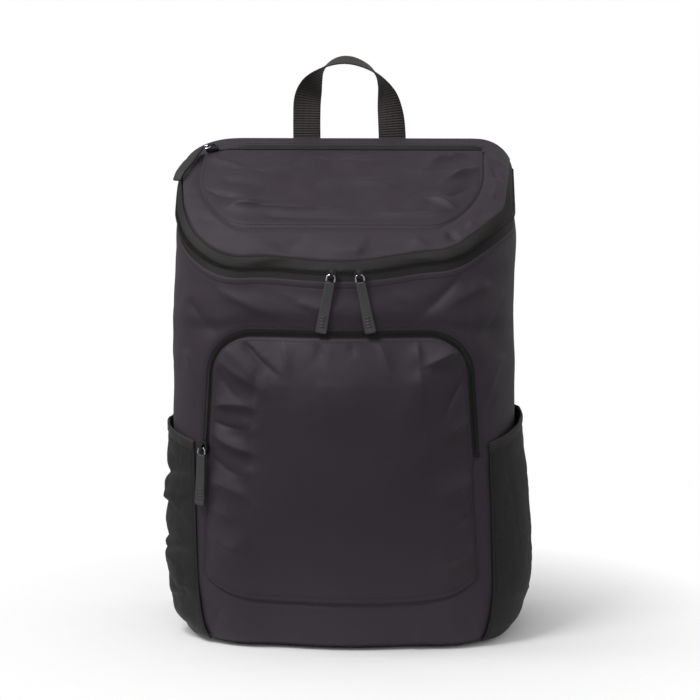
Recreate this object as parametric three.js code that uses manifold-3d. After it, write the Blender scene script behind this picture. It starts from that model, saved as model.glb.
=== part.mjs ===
// Insulated cooler backpack: padded walls, a sloping zipped lid, a front pocket, two mesh side
// pockets, a haul handle and two shoulder straps.
// Millimetres. x runs to the right of someone facing the front, y to the back, z up.
import * as THREE from 'three';
import { mergeVertices } from 'three/addons/utils/BufferGeometryUtils.js';
import Module from 'manifold-3d';

const wasm = await Module();
wasm.setup();

const { lerp, clamp } = THREE.MathUtils;
const vec = (x, y, z) => new THREE.Vector3(x, y, z);
const flat = (x, y) => new THREE.Vector2(x, y);

// Thicknesses and clearances
const wallThickness = 6;
const backThickness = 10;
const baseThickness = 8;
const lidThickness = 6;
const clothThickness = 2.4;
const meshThickness = 1.6;
const tapeThickness = 0.7;
const coilThickness = 0.9;
const webbingThickness = 1.8;
const gap = 0.4;

// Main planes
const backPlane = 88;
const wallRear = backPlane - backThickness - gap;
const lidRear = wallRear - 2.6;
const wallBottom = 2;
const rimLevel = 350;

// Roundings of the body
const frontBow = 8;
const shoulder = { left: 46, right: 31 };
// The left shoulder stands out further than the right one: by how much and between which places
const leftShoulder = { out: 6, inner: 40, outer: 141, low: 352, high: 392 };

// Plan of the body at several heights: half its width, how far the front lies from the middle,
// the radius of the front corners and how far the body leans to the right
const bodySections = [
  { z: 2, half: 128, front: 80, radius: 54, lean: 2.5 },
  { z: 7, half: 135, front: 87, radius: 60, lean: 2.5 },
  { z: 18, half: 141, front: 90, radius: 64, lean: 2.5 },
  { z: 45, half: 145, front: 92, radius: 65, lean: 2.5 },
  { z: 100, half: 145.5, front: 93, radius: 65, lean: 1 },
  { z: 180, half: 144.5, front: 92.5, radius: 65, lean: -1 },
  { z: 260, half: 144.3, front: 92.5, radius: 64, lean: -1.2 },
  { z: 330, half: 142.5, front: 86.5, radius: 65, lean: -0.5 },
  { z: 400, half: 137, front: 84.5, radius: 66, lean: 0 },
];

// Height of the zipped rim and of the lid's middle, from the front to the back
const lidSections = [
  { y: -97, rim: 317, crown: 318 },
  { y: -91, rim: 319, crown: 323 },
  { y: -84, rim: 324, crown: 331 },
  { y: -72, rim: 335, crown: 345 },
  { y: -54, rim: 347, crown: 359 },
  { y: -24, rim: 361, crown: 375 },
  { y: 25, rim: 377, crown: 398 },
  { y: 78, rim: 389, crown: 418 },
];

// The front of the zipped rim hangs lower on the left and stands higher on the right
const rimSkew = { height: 6, reach: 112, front: -65, rear: -25 };

// Cloth panel of the lid pocket, and its zip behind it
const lidPocket = { half: 119, front: -65, rear: 46, corner: 46, cornerLength: 76, puff: 3 };
const lidZip = { half: 124, y: 52.5, tape: 10, coil: 4 };

// Main zip: how far its tape and its coil reach down the wall and up the lid
const mainZip = { down: 7, up: 9, coilDown: 2, coilUp: 2.5 };
// How far the tapes, coils and sliders stand off the cloth
const mainStand = { tape: 1.1, coil: 2.6, slider: 3.9 };
const pocketStand = { tape: 0.6, coil: 1.7, slider: 3 };

// Front pocket
const pocket = {
  top: 262, low: 61, halfTop: 102, halfLow: 113, corner: 30, sag: 22, bulge: 15.4, middle: -1.5,
};
const pocketZip = { away: 6, tape: 10, coil: 4, leftEnd: 164, rightEnd: 164 };

// Mesh side pockets, from the rear seam to the front seam
const sidePocket = { rear: 0.03, front: 1.55, low: 6, binding: 9, patchTop: 40, patchFront: 0.95 };
const sidePocketTop = [
  { t: 0, left: 168, right: 174 },
  { t: 0.25, left: 172, right: 178 },
  { t: 0.5, left: 175, right: 181 },
  { t: 0.69, left: 175, right: 180 },
  { t: 0.86, left: 170, right: 172 },
  { t: 1, left: 166, right: 166 },
];
// How far the pockets stand off the wall, from the foot to the top edge
const sidePocketLift = [
  { v: 0, left: 1.2, right: 1.2 },
  { v: 0.08, left: 4.5, right: 4.5 },
  { v: 0.3, left: 9.5, right: 11 },
  { v: 0.65, left: 7.5, right: 9.5 },
  { v: 1, left: 5.5, right: 5.5 },
];
// Slack folds of the left pocket: height, how deep it is pinched and half the width of the pinch
const leftFolds = [
  { z: 128, depth: 1.8, reach: 12 },
  { z: 76, depth: 2.4, reach: 13 },
];

// Haul handle from its left end over the top to its right end, with the turn of its face in degrees
const handle = { width: 24, y: backPlane + 1.4 };
const handleRows = [
  { x: -39.3, z: 384, turn: 0 },
  { x: -39.3, z: 412, turn: 0 },
  { x: -39.3, z: 438, turn: 0 },
  { x: -38.6, z: 452, turn: 12 },
  { x: -35.6, z: 463, turn: 36 },
  { x: -31.5, z: 471, turn: 60 },
  { x: -26.5, z: 477.5, turn: 82 },
  { x: -20, z: 482.5, turn: 95 },
  { x: -12.5, z: 485.6, turn: 102 },
  { x: -5, z: 486.5, turn: 104 },
  { x: 4, z: 485, turn: 102 },
  { x: 15, z: 480, turn: 95 },
  { x: 23, z: 473, turn: 82 },
  { x: 28, z: 465, turn: 65 },
  { x: 31.5, z: 456, turn: 45 },
  { x: 33.6, z: 446, turn: 28 },
  { x: 35.4, z: 432, turn: 10 },
  { x: 36.3, z: 412, turn: 0 },
  { x: 36.3, z: 384, turn: 0 },
];

// Padded shoulder strap, from the top to the tongue behind the buckle
const strapRows = [
  { z: 404, x: 80, off: 0.4, width: 54, thick: 6 },
  { z: 390, x: 80, off: 0.4, width: 56, thick: 10 },
  { z: 370, x: 80, off: 5, width: 57, thick: 11 },
  { z: 335, x: 81, off: 18, width: 58, thick: 11 },
  { z: 290, x: 84, off: 28, width: 58, thick: 11 },
  { z: 240, x: 88, off: 31, width: 57, thick: 11 },
  { z: 200, x: 92, off: 28.5, width: 52, thick: 10 },
  { z: 176, x: 94, off: 24, width: 40, thick: 7 },
  { z: 162, x: 96, off: 20.2, width: 26, thick: 2.4 },
  { z: 139, x: 101.6, off: 15.8, width: 25, thick: 2.4 },
];
// Lower webbing: its way round the buckle's middle bar, along the strap and out from the back
const webbing = { width: 25, thickness: 1.4 };
const webbingRows = [
  { along: 68, out: 6.5 },
  { along: 40, out: 4.6 },
  { along: 13, out: 3.4 },
  { along: 4, out: 3.2 },
  { along: 0.4, out: 2.8 },
  { along: -1, out: 1.6 },
  { along: -1.5, out: 0 },
  { along: -1, out: -1.6 },
  { along: 0.4, out: -2.8 },
  { along: 4, out: -3.2 },
  { along: 13, out: -3.4 },
  { along: 40, out: -4.4 },
];
const buckle = { x: 103, z: 133, out: 20, width: 34, height: 24, thickness: 4 };
const webbingEnd = { x: 126, z: 38, length: 22 };

// Zip pulls
const slider = { width: 8, length: 10, thickness: 3, crown: 6.2 };
const bail = { half: 3.4, drop: 5.6, wire: 0.75, out: 4.1 };
const tab = { top: 7.8, bottom: 9.6, length: 43, thickness: 2.2 };
const lidTabReach = 34;

const cloth = new THREE.MeshStandardMaterial({ color: '#3a363b', roughness: 0.75, metalness: 0 });
const panelCloth = new THREE.MeshStandardMaterial({ color: '#363237', roughness: 0.72, metalness: 0 });
const meshCloth = new THREE.MeshStandardMaterial({ color: '#242424', roughness: 0.85, metalness: 0 });
const zipCloth = new THREE.MeshStandardMaterial({ color: '#242120', roughness: 0.8, metalness: 0 });
const webCloth = new THREE.MeshStandardMaterial({ color: '#2b2827', roughness: 0.8, metalness: 0 });
const rubber = new THREE.MeshStandardMaterial({ color: '#3c3c3d', roughness: 0.6, metalness: 0 });
const plastic = new THREE.MeshStandardMaterial({ color: '#1e1e1f', roughness: 0.45, metalness: 0 });
const steel = new THREE.MeshStandardMaterial({ color: '#b8babd', roughness: 0.3, metalness: 1 });
const enamel = new THREE.MeshStandardMaterial({ color: '#1a1a1a', roughness: 0.4, metalness: 0 });

// Reading a table: a smooth curve through its rows, for every column
function rowAt(table, key, value) {
  const last = table.length - 1;
  let i = 0;
  while (i < last - 1 && value > table[i + 1][key]) i += 1;
  const step = table[i + 1][key] - table[i][key];
  const t = clamp((value - table[i][key]) / step, 0, 1);
  const slope = (name, k) => {
    const before = table[Math.max(k - 1, 0)];
    const after = table[Math.min(k + 1, last)];
    return ((after[name] - before[name]) / (after[key] - before[key])) * step;
  };
  const read = (name) => {
    const a = table[i][name];
    const b = table[i + 1][name];
    const rise = b - a;
    const bendA = slope(name, i) - rise;
    const bendB = slope(name, i + 1) - rise;
    return a + rise * t + t * (1 - t) * (bendA * (1 - t) - bendB * t);
  };
  return Object.fromEntries(Object.keys(table[0]).map((name) => [name, read(name)]));
}

// Grids of points, with rows from v = 0 to 1 and columns from u = 0 to 1
function gridOf(columns, rows, at) {
  const row = (j) => Array.from({ length: columns + 1 }, (_, i) => at(i / columns, j / rows));
  return Array.from({ length: rows + 1 }, (_, j) => row(j));
}

function normalOf(grid, j, i) {
  const rows = grid.length - 1;
  const columns = grid[0].length - 1;
  const along = grid[j][Math.min(i + 1, columns)].clone().sub(grid[j][Math.max(i - 1, 0)]);
  const across = grid[Math.min(j + 1, rows)][i].clone().sub(grid[Math.max(j - 1, 0)][i]);
  return along.cross(across).normalize();
}

function lifted(grid, lift) {
  const move = (p, j, i) => p.clone().addScaledVector(normalOf(grid, j, i), lift);
  return grid.map((row, j) => row.map((p, i) => move(p, j, i)));
}

function solidFrom(points, triangles) {
  const volume = triangles.reduce((sum, [a, b, c]) => {
    const normal = points[b].clone().cross(points[c]);
    return sum + points[a].dot(normal);
  }, 0);
  const facing = volume < 0 ? triangles.map(([a, b, c]) => [a, c, b]) : triangles;
  const geometry = new THREE.BufferGeometry().setFromPoints(points);
  geometry.setIndex(facing.flat());
  geometry.computeVertexNormals();
  return geometry;
}

// A closed wall between two grids of the same size
function wallBetween(outer, inner) {
  const rows = outer.length;
  const columns = outer[0].length;
  const count = rows * columns;
  const triangles = [];
  const quad = (a, b, c, d) => triangles.push([a, b, c], [a, c, d]);
  const at = (j, i) => j * columns + i;
  for (let j = 0; j < rows - 1; j += 1) {
    for (let i = 0; i < columns - 1; i += 1) {
      const ring = [at(j, i), at(j, i + 1), at(j + 1, i + 1), at(j + 1, i)];
      quad(...ring);
      quad(...ring.map((k) => k + count).reverse());
    }
  }
  const low = Array.from({ length: columns }, (_, i) => at(0, i));
  const right = Array.from({ length: rows }, (_, j) => at(j, columns - 1));
  const high = Array.from({ length: columns }, (_, i) => at(rows - 1, columns - 1 - i));
  const left = Array.from({ length: rows }, (_, j) => at(rows - 1 - j, 0));
  for (const edge of [low, right, high, left]) {
    for (let k = 0; k < edge.length - 1; k += 1) {
      quad(edge[k + 1], edge[k], edge[k] + count, edge[k + 1] + count);
    }
  }
  return solidFrom([...outer.flat(), ...inner.flat()], triangles);
}

// A solid through closed sections that all have the same number of corners
function loft(sections) {
  const corners = sections[0].length;
  const triangles = [];
  for (let k = 0; k < sections.length - 1; k += 1) {
    for (let i = 0; i < corners; i += 1) {
      const a = k * corners + i;
      const b = k * corners + ((i + 1) % corners);
      triangles.push([a, b, b + corners], [a, b + corners, a + corners]);
    }
  }
  const last = (sections.length - 1) * corners;
  for (let i = 1; i < corners - 1; i += 1) {
    triangles.push([0, i + 1, i], [last, last + i, last + i + 1]);
  }
  return solidFrom(sections.flat(), triangles);
}

// Sections across a flat band: across(k) points along its width at point k
function bandSections(points, across, profile) {
  const last = points.length - 1;
  return points.map((p, k) => {
    const run = points[Math.min(k + 1, last)].clone().sub(points[Math.max(k - 1, 0)]).normalize();
    const wide = across(k).clone();
    wide.addScaledVector(run, -wide.dot(run)).normalize();
    const out = run.clone().cross(wide);
    return profile(k).map(([w, t]) => p.clone().addScaledVector(wide, w).addScaledVector(out, t));
  });
}

const slab = (width, thickness) => [
  [-width / 2, -thickness / 2],
  [width / 2, -thickness / 2],
  [width / 2, thickness / 2],
  [-width / 2, thickness / 2],
];

const cushion = (width, thickness) => [
  [-width / 2, -thickness / 5],
  [-width / 2 + thickness / 3, -thickness / 2],
  [width / 2 - thickness / 3, -thickness / 2],
  [width / 2, -thickness / 5],
  [width / 2, thickness / 5],
  [width / 2 - thickness / 3, thickness / 2],
  [-width / 2 + thickness / 3, thickness / 2],
  [-width / 2, thickness / 5],
];

// A surface between four edges in the plane
function filled({ bottom, top, left, right }) {
  return (s, t) => {
    const point = flat(0, 0);
    point.addScaledVector(bottom(s), 1 - t).addScaledVector(top(s), t);
    point.addScaledVector(left(t), 1 - s).addScaledVector(right(t), s);
    point.addScaledVector(bottom(0), -(1 - s) * (1 - t)).addScaledVector(bottom(1), -s * (1 - t));
    point.addScaledVector(top(0), -(1 - s) * t).addScaledVector(top(1), -s * t);
    return point;
  };
}

// Closer columns towards both ends
const eased = (s) => (1 - Math.cos(Math.PI * s)) / 2;

// The outer wall. u runs 0-1 along the left side, 1-2 round the left front corner, 2-3 across the
// front, 3-4 round the right corner and 4-5 back along the right side.
function planPoint(u, { half, front, radius, lean }) {
  const side = u < 2.5 ? -1 : 1;
  const w = u < 2.5 ? u : 5 - u;
  if (w <= 1) return flat(lean + side * half, lerp(wallRear, radius - front, w));
  if (w <= 2) {
    const turn = ((w - 1) * Math.PI) / 2;
    const x = half - radius + radius * Math.cos(turn);
    return flat(lean + side * x, radius - front - radius * Math.sin(turn));
  }
  const share = 5 - 2 * w;
  const bow = frontBow * Math.cos((Math.PI / 2) * share) ** 2;
  return flat(lean + side * (half - radius) * share, -front - bow);
}

const sectionAt = (z) => rowAt(bodySections, 'z', z);

function wallPoint(u, z) {
  const { x, y } = planPoint(u, sectionAt(z));
  return vec(x, y, z);
}

// The wall seen from the front, moved outwards along its normal
function frontSkin(x, z, lift) {
  const depth = (px, pz) => {
    const { half, front, radius, lean } = sectionAt(pz);
    const off = px - lean;
    const past = Math.abs(off) - (half - radius);
    if (past > 0) return radius - front - Math.sqrt(radius ** 2 - past ** 2);
    return -front - frontBow * Math.cos(((Math.PI / 2) * off) / (half - radius)) ** 2;
  };
  const slopeX = depth(x + 0.5, z) - depth(x - 0.5, z);
  const slopeZ = depth(x, z + 0.5) - depth(x, z - 0.5);
  const normal = vec(slopeX, -1, slopeZ).normalize();
  return vec(x, depth(x, z), z).addScaledVector(normal, lift);
}

// The lid: its height at any place in plan
function lidHalfWidth(y) {
  const { half, front, radius } = sectionAt(rimLevel);
  const past = radius - front - y;
  if (past <= 0) return half;
  if (past <= radius) return half - radius + Math.sqrt(radius ** 2 - past ** 2);
  const share = Math.sqrt(Math.min((past - radius) / frontBow, 1));
  return (half - radius) * (2 / Math.PI) * Math.acos(share);
}

function skewAt(x, y) {
  const aside = Math.sign(x) * clamp(Math.abs(x) / rimSkew.reach, 0, 1) ** 2;
  return rimSkew.height * aside * (1 - THREE.MathUtils.smoothstep(y, rimSkew.front, rimSkew.rear));
}

function lidHeight(x, y) {
  const { rim, crown } = rowAt(lidSections, 'y', y);
  const round = x < 0 ? shoulder.left : shoulder.right;
  const inside = clamp((lidHalfWidth(y) - Math.abs(x)) / round, 0, 1);
  return rim + (crown - rim) * Math.sqrt(1 - (1 - inside) ** 2) + skewAt(x, y) * (1 - inside);
}

function lidSkin(x, y, lift) {
  const nearX = x * 0.99;
  const nearY = Math.max(y, -94);
  const slopeX = lidHeight(nearX + 0.7, nearY) - lidHeight(nearX - 0.7, nearY);
  const slopeY = lidHeight(nearX, nearY + 0.7) - lidHeight(nearX, nearY - 0.7);
  const normal = vec(-slopeX, -slopeY, 1.4).normalize();
  return vec(x, y, lidHeight(x, y)).addScaledVector(normal, lift);
}

function rimPlan(u) {
  return planPoint(u, sectionAt(rimLevel));
}

function rimPoint(u) {
  const { x, y } = rimPlan(u);
  return vec(x, y, rowAt(lidSections, 'y', y).rim + skewAt(x, y));
}

// Top of the wall, just below the lid's underside
function wallTop(u) {
  const rim = rimPoint(u);
  const under = lidSkin(rim.x, rim.y, -lidThickness);
  return Math.min(rim.z, under.z) - 2;
}

// A point some way up the lid from the rim
function upLid(u, distance) {
  const rim = rimPoint(u);
  const run = rimPlan(Math.min(u + 0.01, 5)).sub(rimPlan(Math.max(u - 0.01, 0))).normalize();
  let point = rim;
  let gone = 0;
  for (let turn = 0; gone < distance; turn += Math.PI / 90) {
    const inset = shoulder.right * (1 - Math.cos(turn));
    const x = rim.x - run.y * inset;
    const y = rim.y + run.x * inset;
    const next = vec(x, y, lidHeight(x, y));
    gone += next.distanceTo(point);
    point = next;
  }
  return point;
}

const bag = new THREE.Group();

function add(name, geometry, material, parent = bag) {
  const mesh = new THREE.Mesh(geometry, material);
  mesh.name = name;
  parent.add(mesh);
  return mesh;
}

// Body wall
const wallRows = (v) => v ** 1.6;
const wallGrid = gridOf(36, 8, (s, v) => {
  const u = 5 * s;
  const top = wallTop(u);
  return wallPoint(u, lerp(wallBottom, top, wallRows(v)));
});
add('body_wall', wallBetween(wallGrid, lifted(wallGrid, -wallThickness)), cloth);

// Back panel, cut to the sides of the wall and the rear of the lid
const backShape = new THREE.Shape();
const backSide = [3, 12, 30, 80, 150, 230, 310, 370];
for (const z of backSide) {
  const { half, lean } = sectionAt(z);
  if (z === backSide[0]) backShape.moveTo(lean + half - 2, z);
  else backShape.lineTo(lean + half - 0.5, z);
}
for (let k = 0; k <= 18; k += 1) {
  const x = (sectionAt(rimLevel).half - 0.5) * Math.cos((Math.PI * k) / 18);
  backShape.lineTo(x, lidHeight(x, lidRear) + 1.2);
}
for (const z of backSide.toReversed()) {
  const { half, lean } = sectionAt(z);
  backShape.lineTo(lean - half + (z === backSide[0] ? 2 : 0.5), z);
}
const backEdge = 2.5;
const backGeometry = new THREE.ExtrudeGeometry(backShape, {
  depth: backThickness - 2 * backEdge,
  bevelThickness: backEdge,
  bevelSize: backEdge,
  bevelOffset: -backEdge,
  bevelSegments: 1,
});
const backPanel = add('back_panel', backGeometry, cloth);
backPanel.rotation.x = Math.PI / 2;
backPanel.position.y = backPlane - backEdge;

// Base, inside the foot of the wall
const foot = sectionAt(wallBottom);
const baseSection = {
  half: foot.half - 6,
  front: foot.front - 6,
  radius: foot.radius - 6,
  lean: foot.lean,
};
const baseShape = new THREE.Shape();
for (let k = 0; k <= 30; k += 1) {
  const { x, y } = planPoint(k / 6, baseSection);
  if (k === 0) baseShape.moveTo(x, y);
  else baseShape.lineTo(x, y);
}
const baseEdge = 1.5;
const baseGeometry = new THREE.ExtrudeGeometry(baseShape, {
  depth: baseThickness - 2 * baseEdge,
  bevelThickness: baseEdge,
  bevelSize: baseEdge,
  bevelOffset: -baseEdge,
  bevelSegments: 1,
});
add('base_panel', baseGeometry, cloth).position.z = baseEdge;

// Lid
const lidStart = 0.026;
const lidPlan = filled({
  bottom: (s) => rimPlan(1.5 + 2 * s),
  top: (s) => flat(lerp(-1, 1, s) * rimPlan(5).x, lidRear),
  left: (t) => rimPlan(lerp(1.5, lidStart, t)),
  right: (t) => rimPlan(lerp(3.5, 5 - lidStart, t)),
});
const lidGrid = (lift) => gridOf(24, 14, (s, v) => {
  const { x, y } = lidPlan(eased(s), v);
  return lidSkin(x, y, lift);
});
add('lid_panel', wallBetween(lidGrid(0), lidGrid(-lidThickness)), cloth);

// Lid pocket panel, with rounded front corners
const lidPocketPlan = (() => {
  const { half, front, rear, corner, cornerLength } = lidPocket;
  const cornerPoint = (side, turn) => flat(
    side * (half - corner + corner * Math.cos(turn)),
    front + cornerLength * (1 - Math.sin(turn)),
  );
  const edge = (side) => (t) => {
    const bend = 0.6;
    if (t < bend) return cornerPoint(side, lerp(Math.PI / 4, 0, t / bend));
    return flat(side * half, lerp(front + cornerLength, rear, (t - bend) / (1 - bend)));
  };
  const bottom = (s) => {
    const bend = 0.2;
    const side = s < 0.5 ? -1 : 1;
    const w = Math.min(s, 1 - s);
    if (w < bend) return cornerPoint(side, lerp(Math.PI / 4, Math.PI / 2, w / bend));
    return flat(side * (half - corner) * (0.5 - w) / (0.5 - bend), front);
  };
  const top = (s) => flat(lerp(-half, half, s), rear);
  return filled({ bottom, top, left: edge(-1), right: edge(1) });
})();
const lidPocketGrid = (lift) => gridOf(16, 8, (s, v) => {
  const { x, y } = lidPocketPlan(s, v);
  const puff = lidPocket.puff * (1 - Math.abs(2 * s - 1) ** 3) * (1 - Math.abs(2 * v - 1) ** 3);
  return lidSkin(x, y, 2 * gap + lift + puff);
});
add('lid_pocket_panel', wallBetween(lidPocketGrid(1.8), lidPocketGrid(0)), panelCloth);

// Lid pocket zip
const lidBand = (half, width, low, high) => {
  const layer = (lift) => gridOf(20, 1, (s, v) => {
    const x = half * Math.sin((Math.PI / 2) * (2 * s - 1));
    return lidSkin(x, lidZip.y + (v - 0.5) * width, lift);
  });
  return wallBetween(layer(high), layer(low));
};
const standing = (low, thickness) => [low, low + thickness];
const tapeStand = standing(pocketStand.tape, tapeThickness);
const coilStand = standing(pocketStand.coil, coilThickness);
add('lid_zip_tape', lidBand(lidZip.half, lidZip.tape, ...tapeStand), zipCloth);
add('lid_zip_coil', lidBand(lidZip.half - 2, lidZip.coil, ...coilStand), zipCloth);

// Main zip round the rim
const zipRun = (s) => lerp(0.06, 4.94, s);
const tapeGrid = gridOf(48, 4, (s, v) => {
  const u = zipRun(s);
  const top = wallTop(u);
  if (v === 0) return wallPoint(u, top - mainZip.down);
  if (v < 0.5) return wallPoint(u, top - 0.3);
  return v < 0.6 ? rimPoint(u) : upLid(u, v < 1 ? mainZip.up / 2 : mainZip.up);
});
const layerOn = (grid, low, thickness) => wallBetween(lifted(grid, low + thickness), lifted(grid, low));
add('main_zip_tape', layerOn(tapeGrid, mainStand.tape, tapeThickness), zipCloth);
const coilGrid = gridOf(48, 2, (s, v) => {
  const u = zipRun(s);
  if (v === 0) return wallPoint(u, wallTop(u) - mainZip.coilDown);
  return v < 1 ? rimPoint(u) : upLid(u, mainZip.coilUp);
});
add('main_zip_coil', layerOn(coilGrid, mainStand.coil, coilThickness), zipCloth);

// Front pocket panel
function pocketOutline(grow) {
  const { top, low, halfTop, halfLow, corner } = pocket;
  const round = corner + grow;
  const start = top - corner;
  const half = (z) => lerp(halfLow, halfTop, (z - low) / (start - low)) + grow;
  const cornerPoint = (side, turn) => flat(
    side * (halfTop + grow - round + round * Math.cos(turn)),
    start + round * Math.sin(turn),
  );
  return { start, half, cornerPoint };
}
const pocketPlan = (() => {
  const { start, half, cornerPoint } = pocketOutline(0);
  const { low, sag, halfLow, halfTop, corner } = pocket;
  const edge = (side) => (t) => {
    const bend = 0.88;
    if (t > bend) return cornerPoint(side, lerp(0, Math.PI / 4, (t - bend) / (1 - bend)));
    const z = lerp(low, start, t / bend);
    return flat(side * half(z), z);
  };
  const top = (s) => {
    const bend = 0.12;
    const side = s < 0.5 ? -1 : 1;
    const w = Math.min(s, 1 - s);
    if (w < bend) return cornerPoint(side, lerp(Math.PI / 4, Math.PI / 2, w / bend));
    return flat(side * (halfTop - corner) * (0.5 - w) / (0.5 - bend), pocket.top);
  };
  const bottom = (s) => {
    const x = 2 * s - 1;
    return flat(halfLow * x, low - sag * (1 - x ** 6));
  };
  return filled({ bottom, top, left: edge(-1), right: edge(1) });
})();
const pocketGrid = (lift) => gridOf(20, 16, (s, v) => {
  const { x, y } = pocketPlan(s, v);
  const dome = (1 - Math.abs(2 * s - 1) ** 3) * (1 - Math.abs(2 * v - 1) ** 3);
  return frontSkin(x + pocket.middle, y, gap + lift + pocket.bulge * dome);
});
add('front_pocket_panel', wallBetween(pocketGrid(clothThickness), pocketGrid(0)), panelCloth);

// Front pocket zip, up the left edge, over the top and down the right edge
function pocketBand(width, low, high) {
  const { away, leftEnd, rightEnd } = pocketZip;
  const run = (grow) => (s) => {
    const { start, half, cornerPoint } = pocketOutline(grow);
    const side = s < 0.5 ? -1 : 1;
    const w = Math.min(s, 1 - s) * 2;
    const end = side < 0 ? leftEnd : rightEnd;
    if (w < 0.3) {
      const z = lerp(end, start, w / 0.3);
      return flat(side * half(z), z);
    }
    if (w < 0.6) return cornerPoint(side, lerp(0, Math.PI / 2, (w - 0.3) / 0.3));
    return flat(side * (pocket.halfTop - pocket.corner) * (1 - w) / 0.4, pocket.top + grow);
  };
  const layer = (lift) => gridOf(40, 1, (s, v) => {
    const { x, y } = run(away + (0.5 - v) * width)(s);
    return frontSkin(x + pocket.middle, y, lift);
  });
  return wallBetween(layer(high), layer(low));
}
add('pocket_zip_tape', pocketBand(pocketZip.tape, ...tapeStand), zipCloth);
add('pocket_zip_coil', pocketBand(pocketZip.coil, ...coilStand), zipCloth);

// Mesh side pockets; t runs from the rear seam to the front seam
function sidePoint(side, t, z, lift) {
  const run = lerp(sidePocket.rear, sidePocket.front, t);
  const u = side < 0 ? run : 5 - run;
  const at = (du, dz) => wallPoint(u + du, z + dz);
  const normal = at(0.01, 0).sub(at(-0.01, 0)).cross(at(0, 1).sub(at(0, -1))).normalize();
  return at(0, 0).addScaledVector(normal, lift);
}

function pocketLift(name, t, z, top) {
  const v = clamp((z - sidePocket.low) / (top - sidePocket.low), 0, 1);
  const across = Math.sin(Math.PI * clamp(t, 0, 1)) ** 0.7;
  const folds = name === 'left' ? leftFolds : [];
  const pinch = folds.reduce((sum, fold) => {
    return sum + fold.depth * Math.exp(-(((z - fold.z) / fold.reach) ** 2));
  }, 0);
  const lift = rowAt(sidePocketLift, 'v', v)[name];
  return Math.max(1.2, (lift - pinch) * across);
}

for (const [name, side] of [['left', -1], ['right', 1]]) {
  const sideGrid = (columns, rows, lift, zAt, tAt) => gridOf(columns, rows, (s, v) => {
    const t = tAt(side < 0 ? s : 1 - s);
    const top = rowAt(sidePocketTop, 't', t)[name];
    const z = zAt(v, top);
    return sidePoint(side, t, z, lift + pocketLift(name, t, z, top));
  });
  const wholeRun = (s) => s;
  const meshZ = (v, top) => lerp(sidePocket.low, top, v ** 1.2);
  add(
    `${name}_mesh_pocket`,
    wallBetween(
      sideGrid(14, 10, meshThickness, meshZ, wholeRun),
      sideGrid(14, 10, 0, meshZ, wholeRun),
    ),
    meshCloth,
  );
  const bindingZ = (v, top) => top + gap + sidePocket.binding * v;
  add(
    `${name}_pocket_binding`,
    wallBetween(
      sideGrid(14, 1, meshThickness + 0.7, bindingZ, wholeRun),
      sideGrid(14, 1, -0.2, bindingZ, wholeRun),
    ),
    webCloth,
  );
  const share = (sidePocket.patchFront - sidePocket.rear) / (sidePocket.front - sidePocket.rear);
  const patchZ = (v) => lerp(sidePocket.low + 2, sidePocket.patchTop, v);
  const patchLift = meshThickness + 4 * gap;
  add(
    `${name}_side_patch`,
    wallBetween(
      sideGrid(10, 3, patchLift + 1.4, patchZ, (s) => s * share),
      sideGrid(10, 3, patchLift, patchZ, (s) => s * share),
    ),
    cloth,
  );
}

// Haul handle
const handlePoints = handleRows.map(({ x, z }) => vec(x, handle.y, z));
const handleAcross = (k) => {
  const last = handlePoints.length - 1;
  const run = handlePoints[Math.min(k + 1, last)].clone().sub(handlePoints[Math.max(k - 1, 0)]);
  const turn = THREE.MathUtils.degToRad(handleRows[k].turn);
  const inPlane = vec(run.z, 0, -run.x).normalize();
  return inPlane.multiplyScalar(Math.cos(turn)).add(vec(0, Math.sin(turn), 0));
};
const handleBand = bandSections(handlePoints, handleAcross, () => slab(handle.width, webbingThickness));
add('haul_handle', loft(handleBand), webCloth);

// Shoulder straps, their buckles and lower webbing
for (const [name, side] of [['left', -1], ['right', 1]]) {
  const padPoints = strapRows.map(({ x, z, off, thick }) => {
    return vec(side * x, backPlane + off + thick / 2, z);
  });
  const middle = vec(side * buckle.x, backPlane + buckle.out, buckle.z);
  const end = vec(side * webbingEnd.x, backPlane + gap + webbing.thickness / 2, webbingEnd.z);
  const along = end.clone().sub(middle).normalize();
  const wide = vec(-along.z, 0, along.x).normalize();
  const out = along.clone().cross(wide).normalize();
  if (out.y < 0) out.negate();
  const up = along.clone().negate();
  const frame = new THREE.Matrix4().makeBasis(up.clone().cross(out), up, out);
  const pad = bandSections(
    padPoints,
    (k) => (k < padPoints.length - 2 ? vec(1, 0, 0) : wide),
    (k) => cushion(strapRows[k].width, strapRows[k].thick),
  );
  add(`${name}_shoulder_strap`, loft(pad), cloth);
  const way = webbingRows.map((row) => {
    return middle.clone().addScaledVector(along, row.along).addScaledVector(out, row.out);
  });
  const down = vec(along.x, 0, along.z).normalize();
  way.push(end.clone().addScaledVector(down, -webbingEnd.length), end);
  const band = bandSections(way, () => wide, () => slab(webbing.width, webbing.thickness));
  add(`${name}_strap_webbing`, loft(band), webCloth);

  const { width, height, thickness } = buckle;
  const rectangle = (Path, w, low, high) => {
    const path = new Path();
    path.moveTo(-w / 2, low);
    path.lineTo(w / 2, low);
    path.lineTo(w / 2, high);
    path.lineTo(-w / 2, high);
    path.closePath();
    return path;
  };
  const face = rectangle(THREE.Shape, width, -height / 2 - 1, height / 2 - 1);
  face.holes.push(rectangle(THREE.Path, 27, -1, 7), rectangle(THREE.Path, 27, -9.5, -5));
  const plate = new THREE.ExtrudeGeometry(face, { depth: thickness, bevelEnabled: false });
  plate.translate(0, 0, -thickness / 2);
  const clip = add(`${name}_strap_buckle`, plate, plastic);
  clip.quaternion.setFromRotationMatrix(frame);
  clip.position.copy(middle);
}

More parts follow.
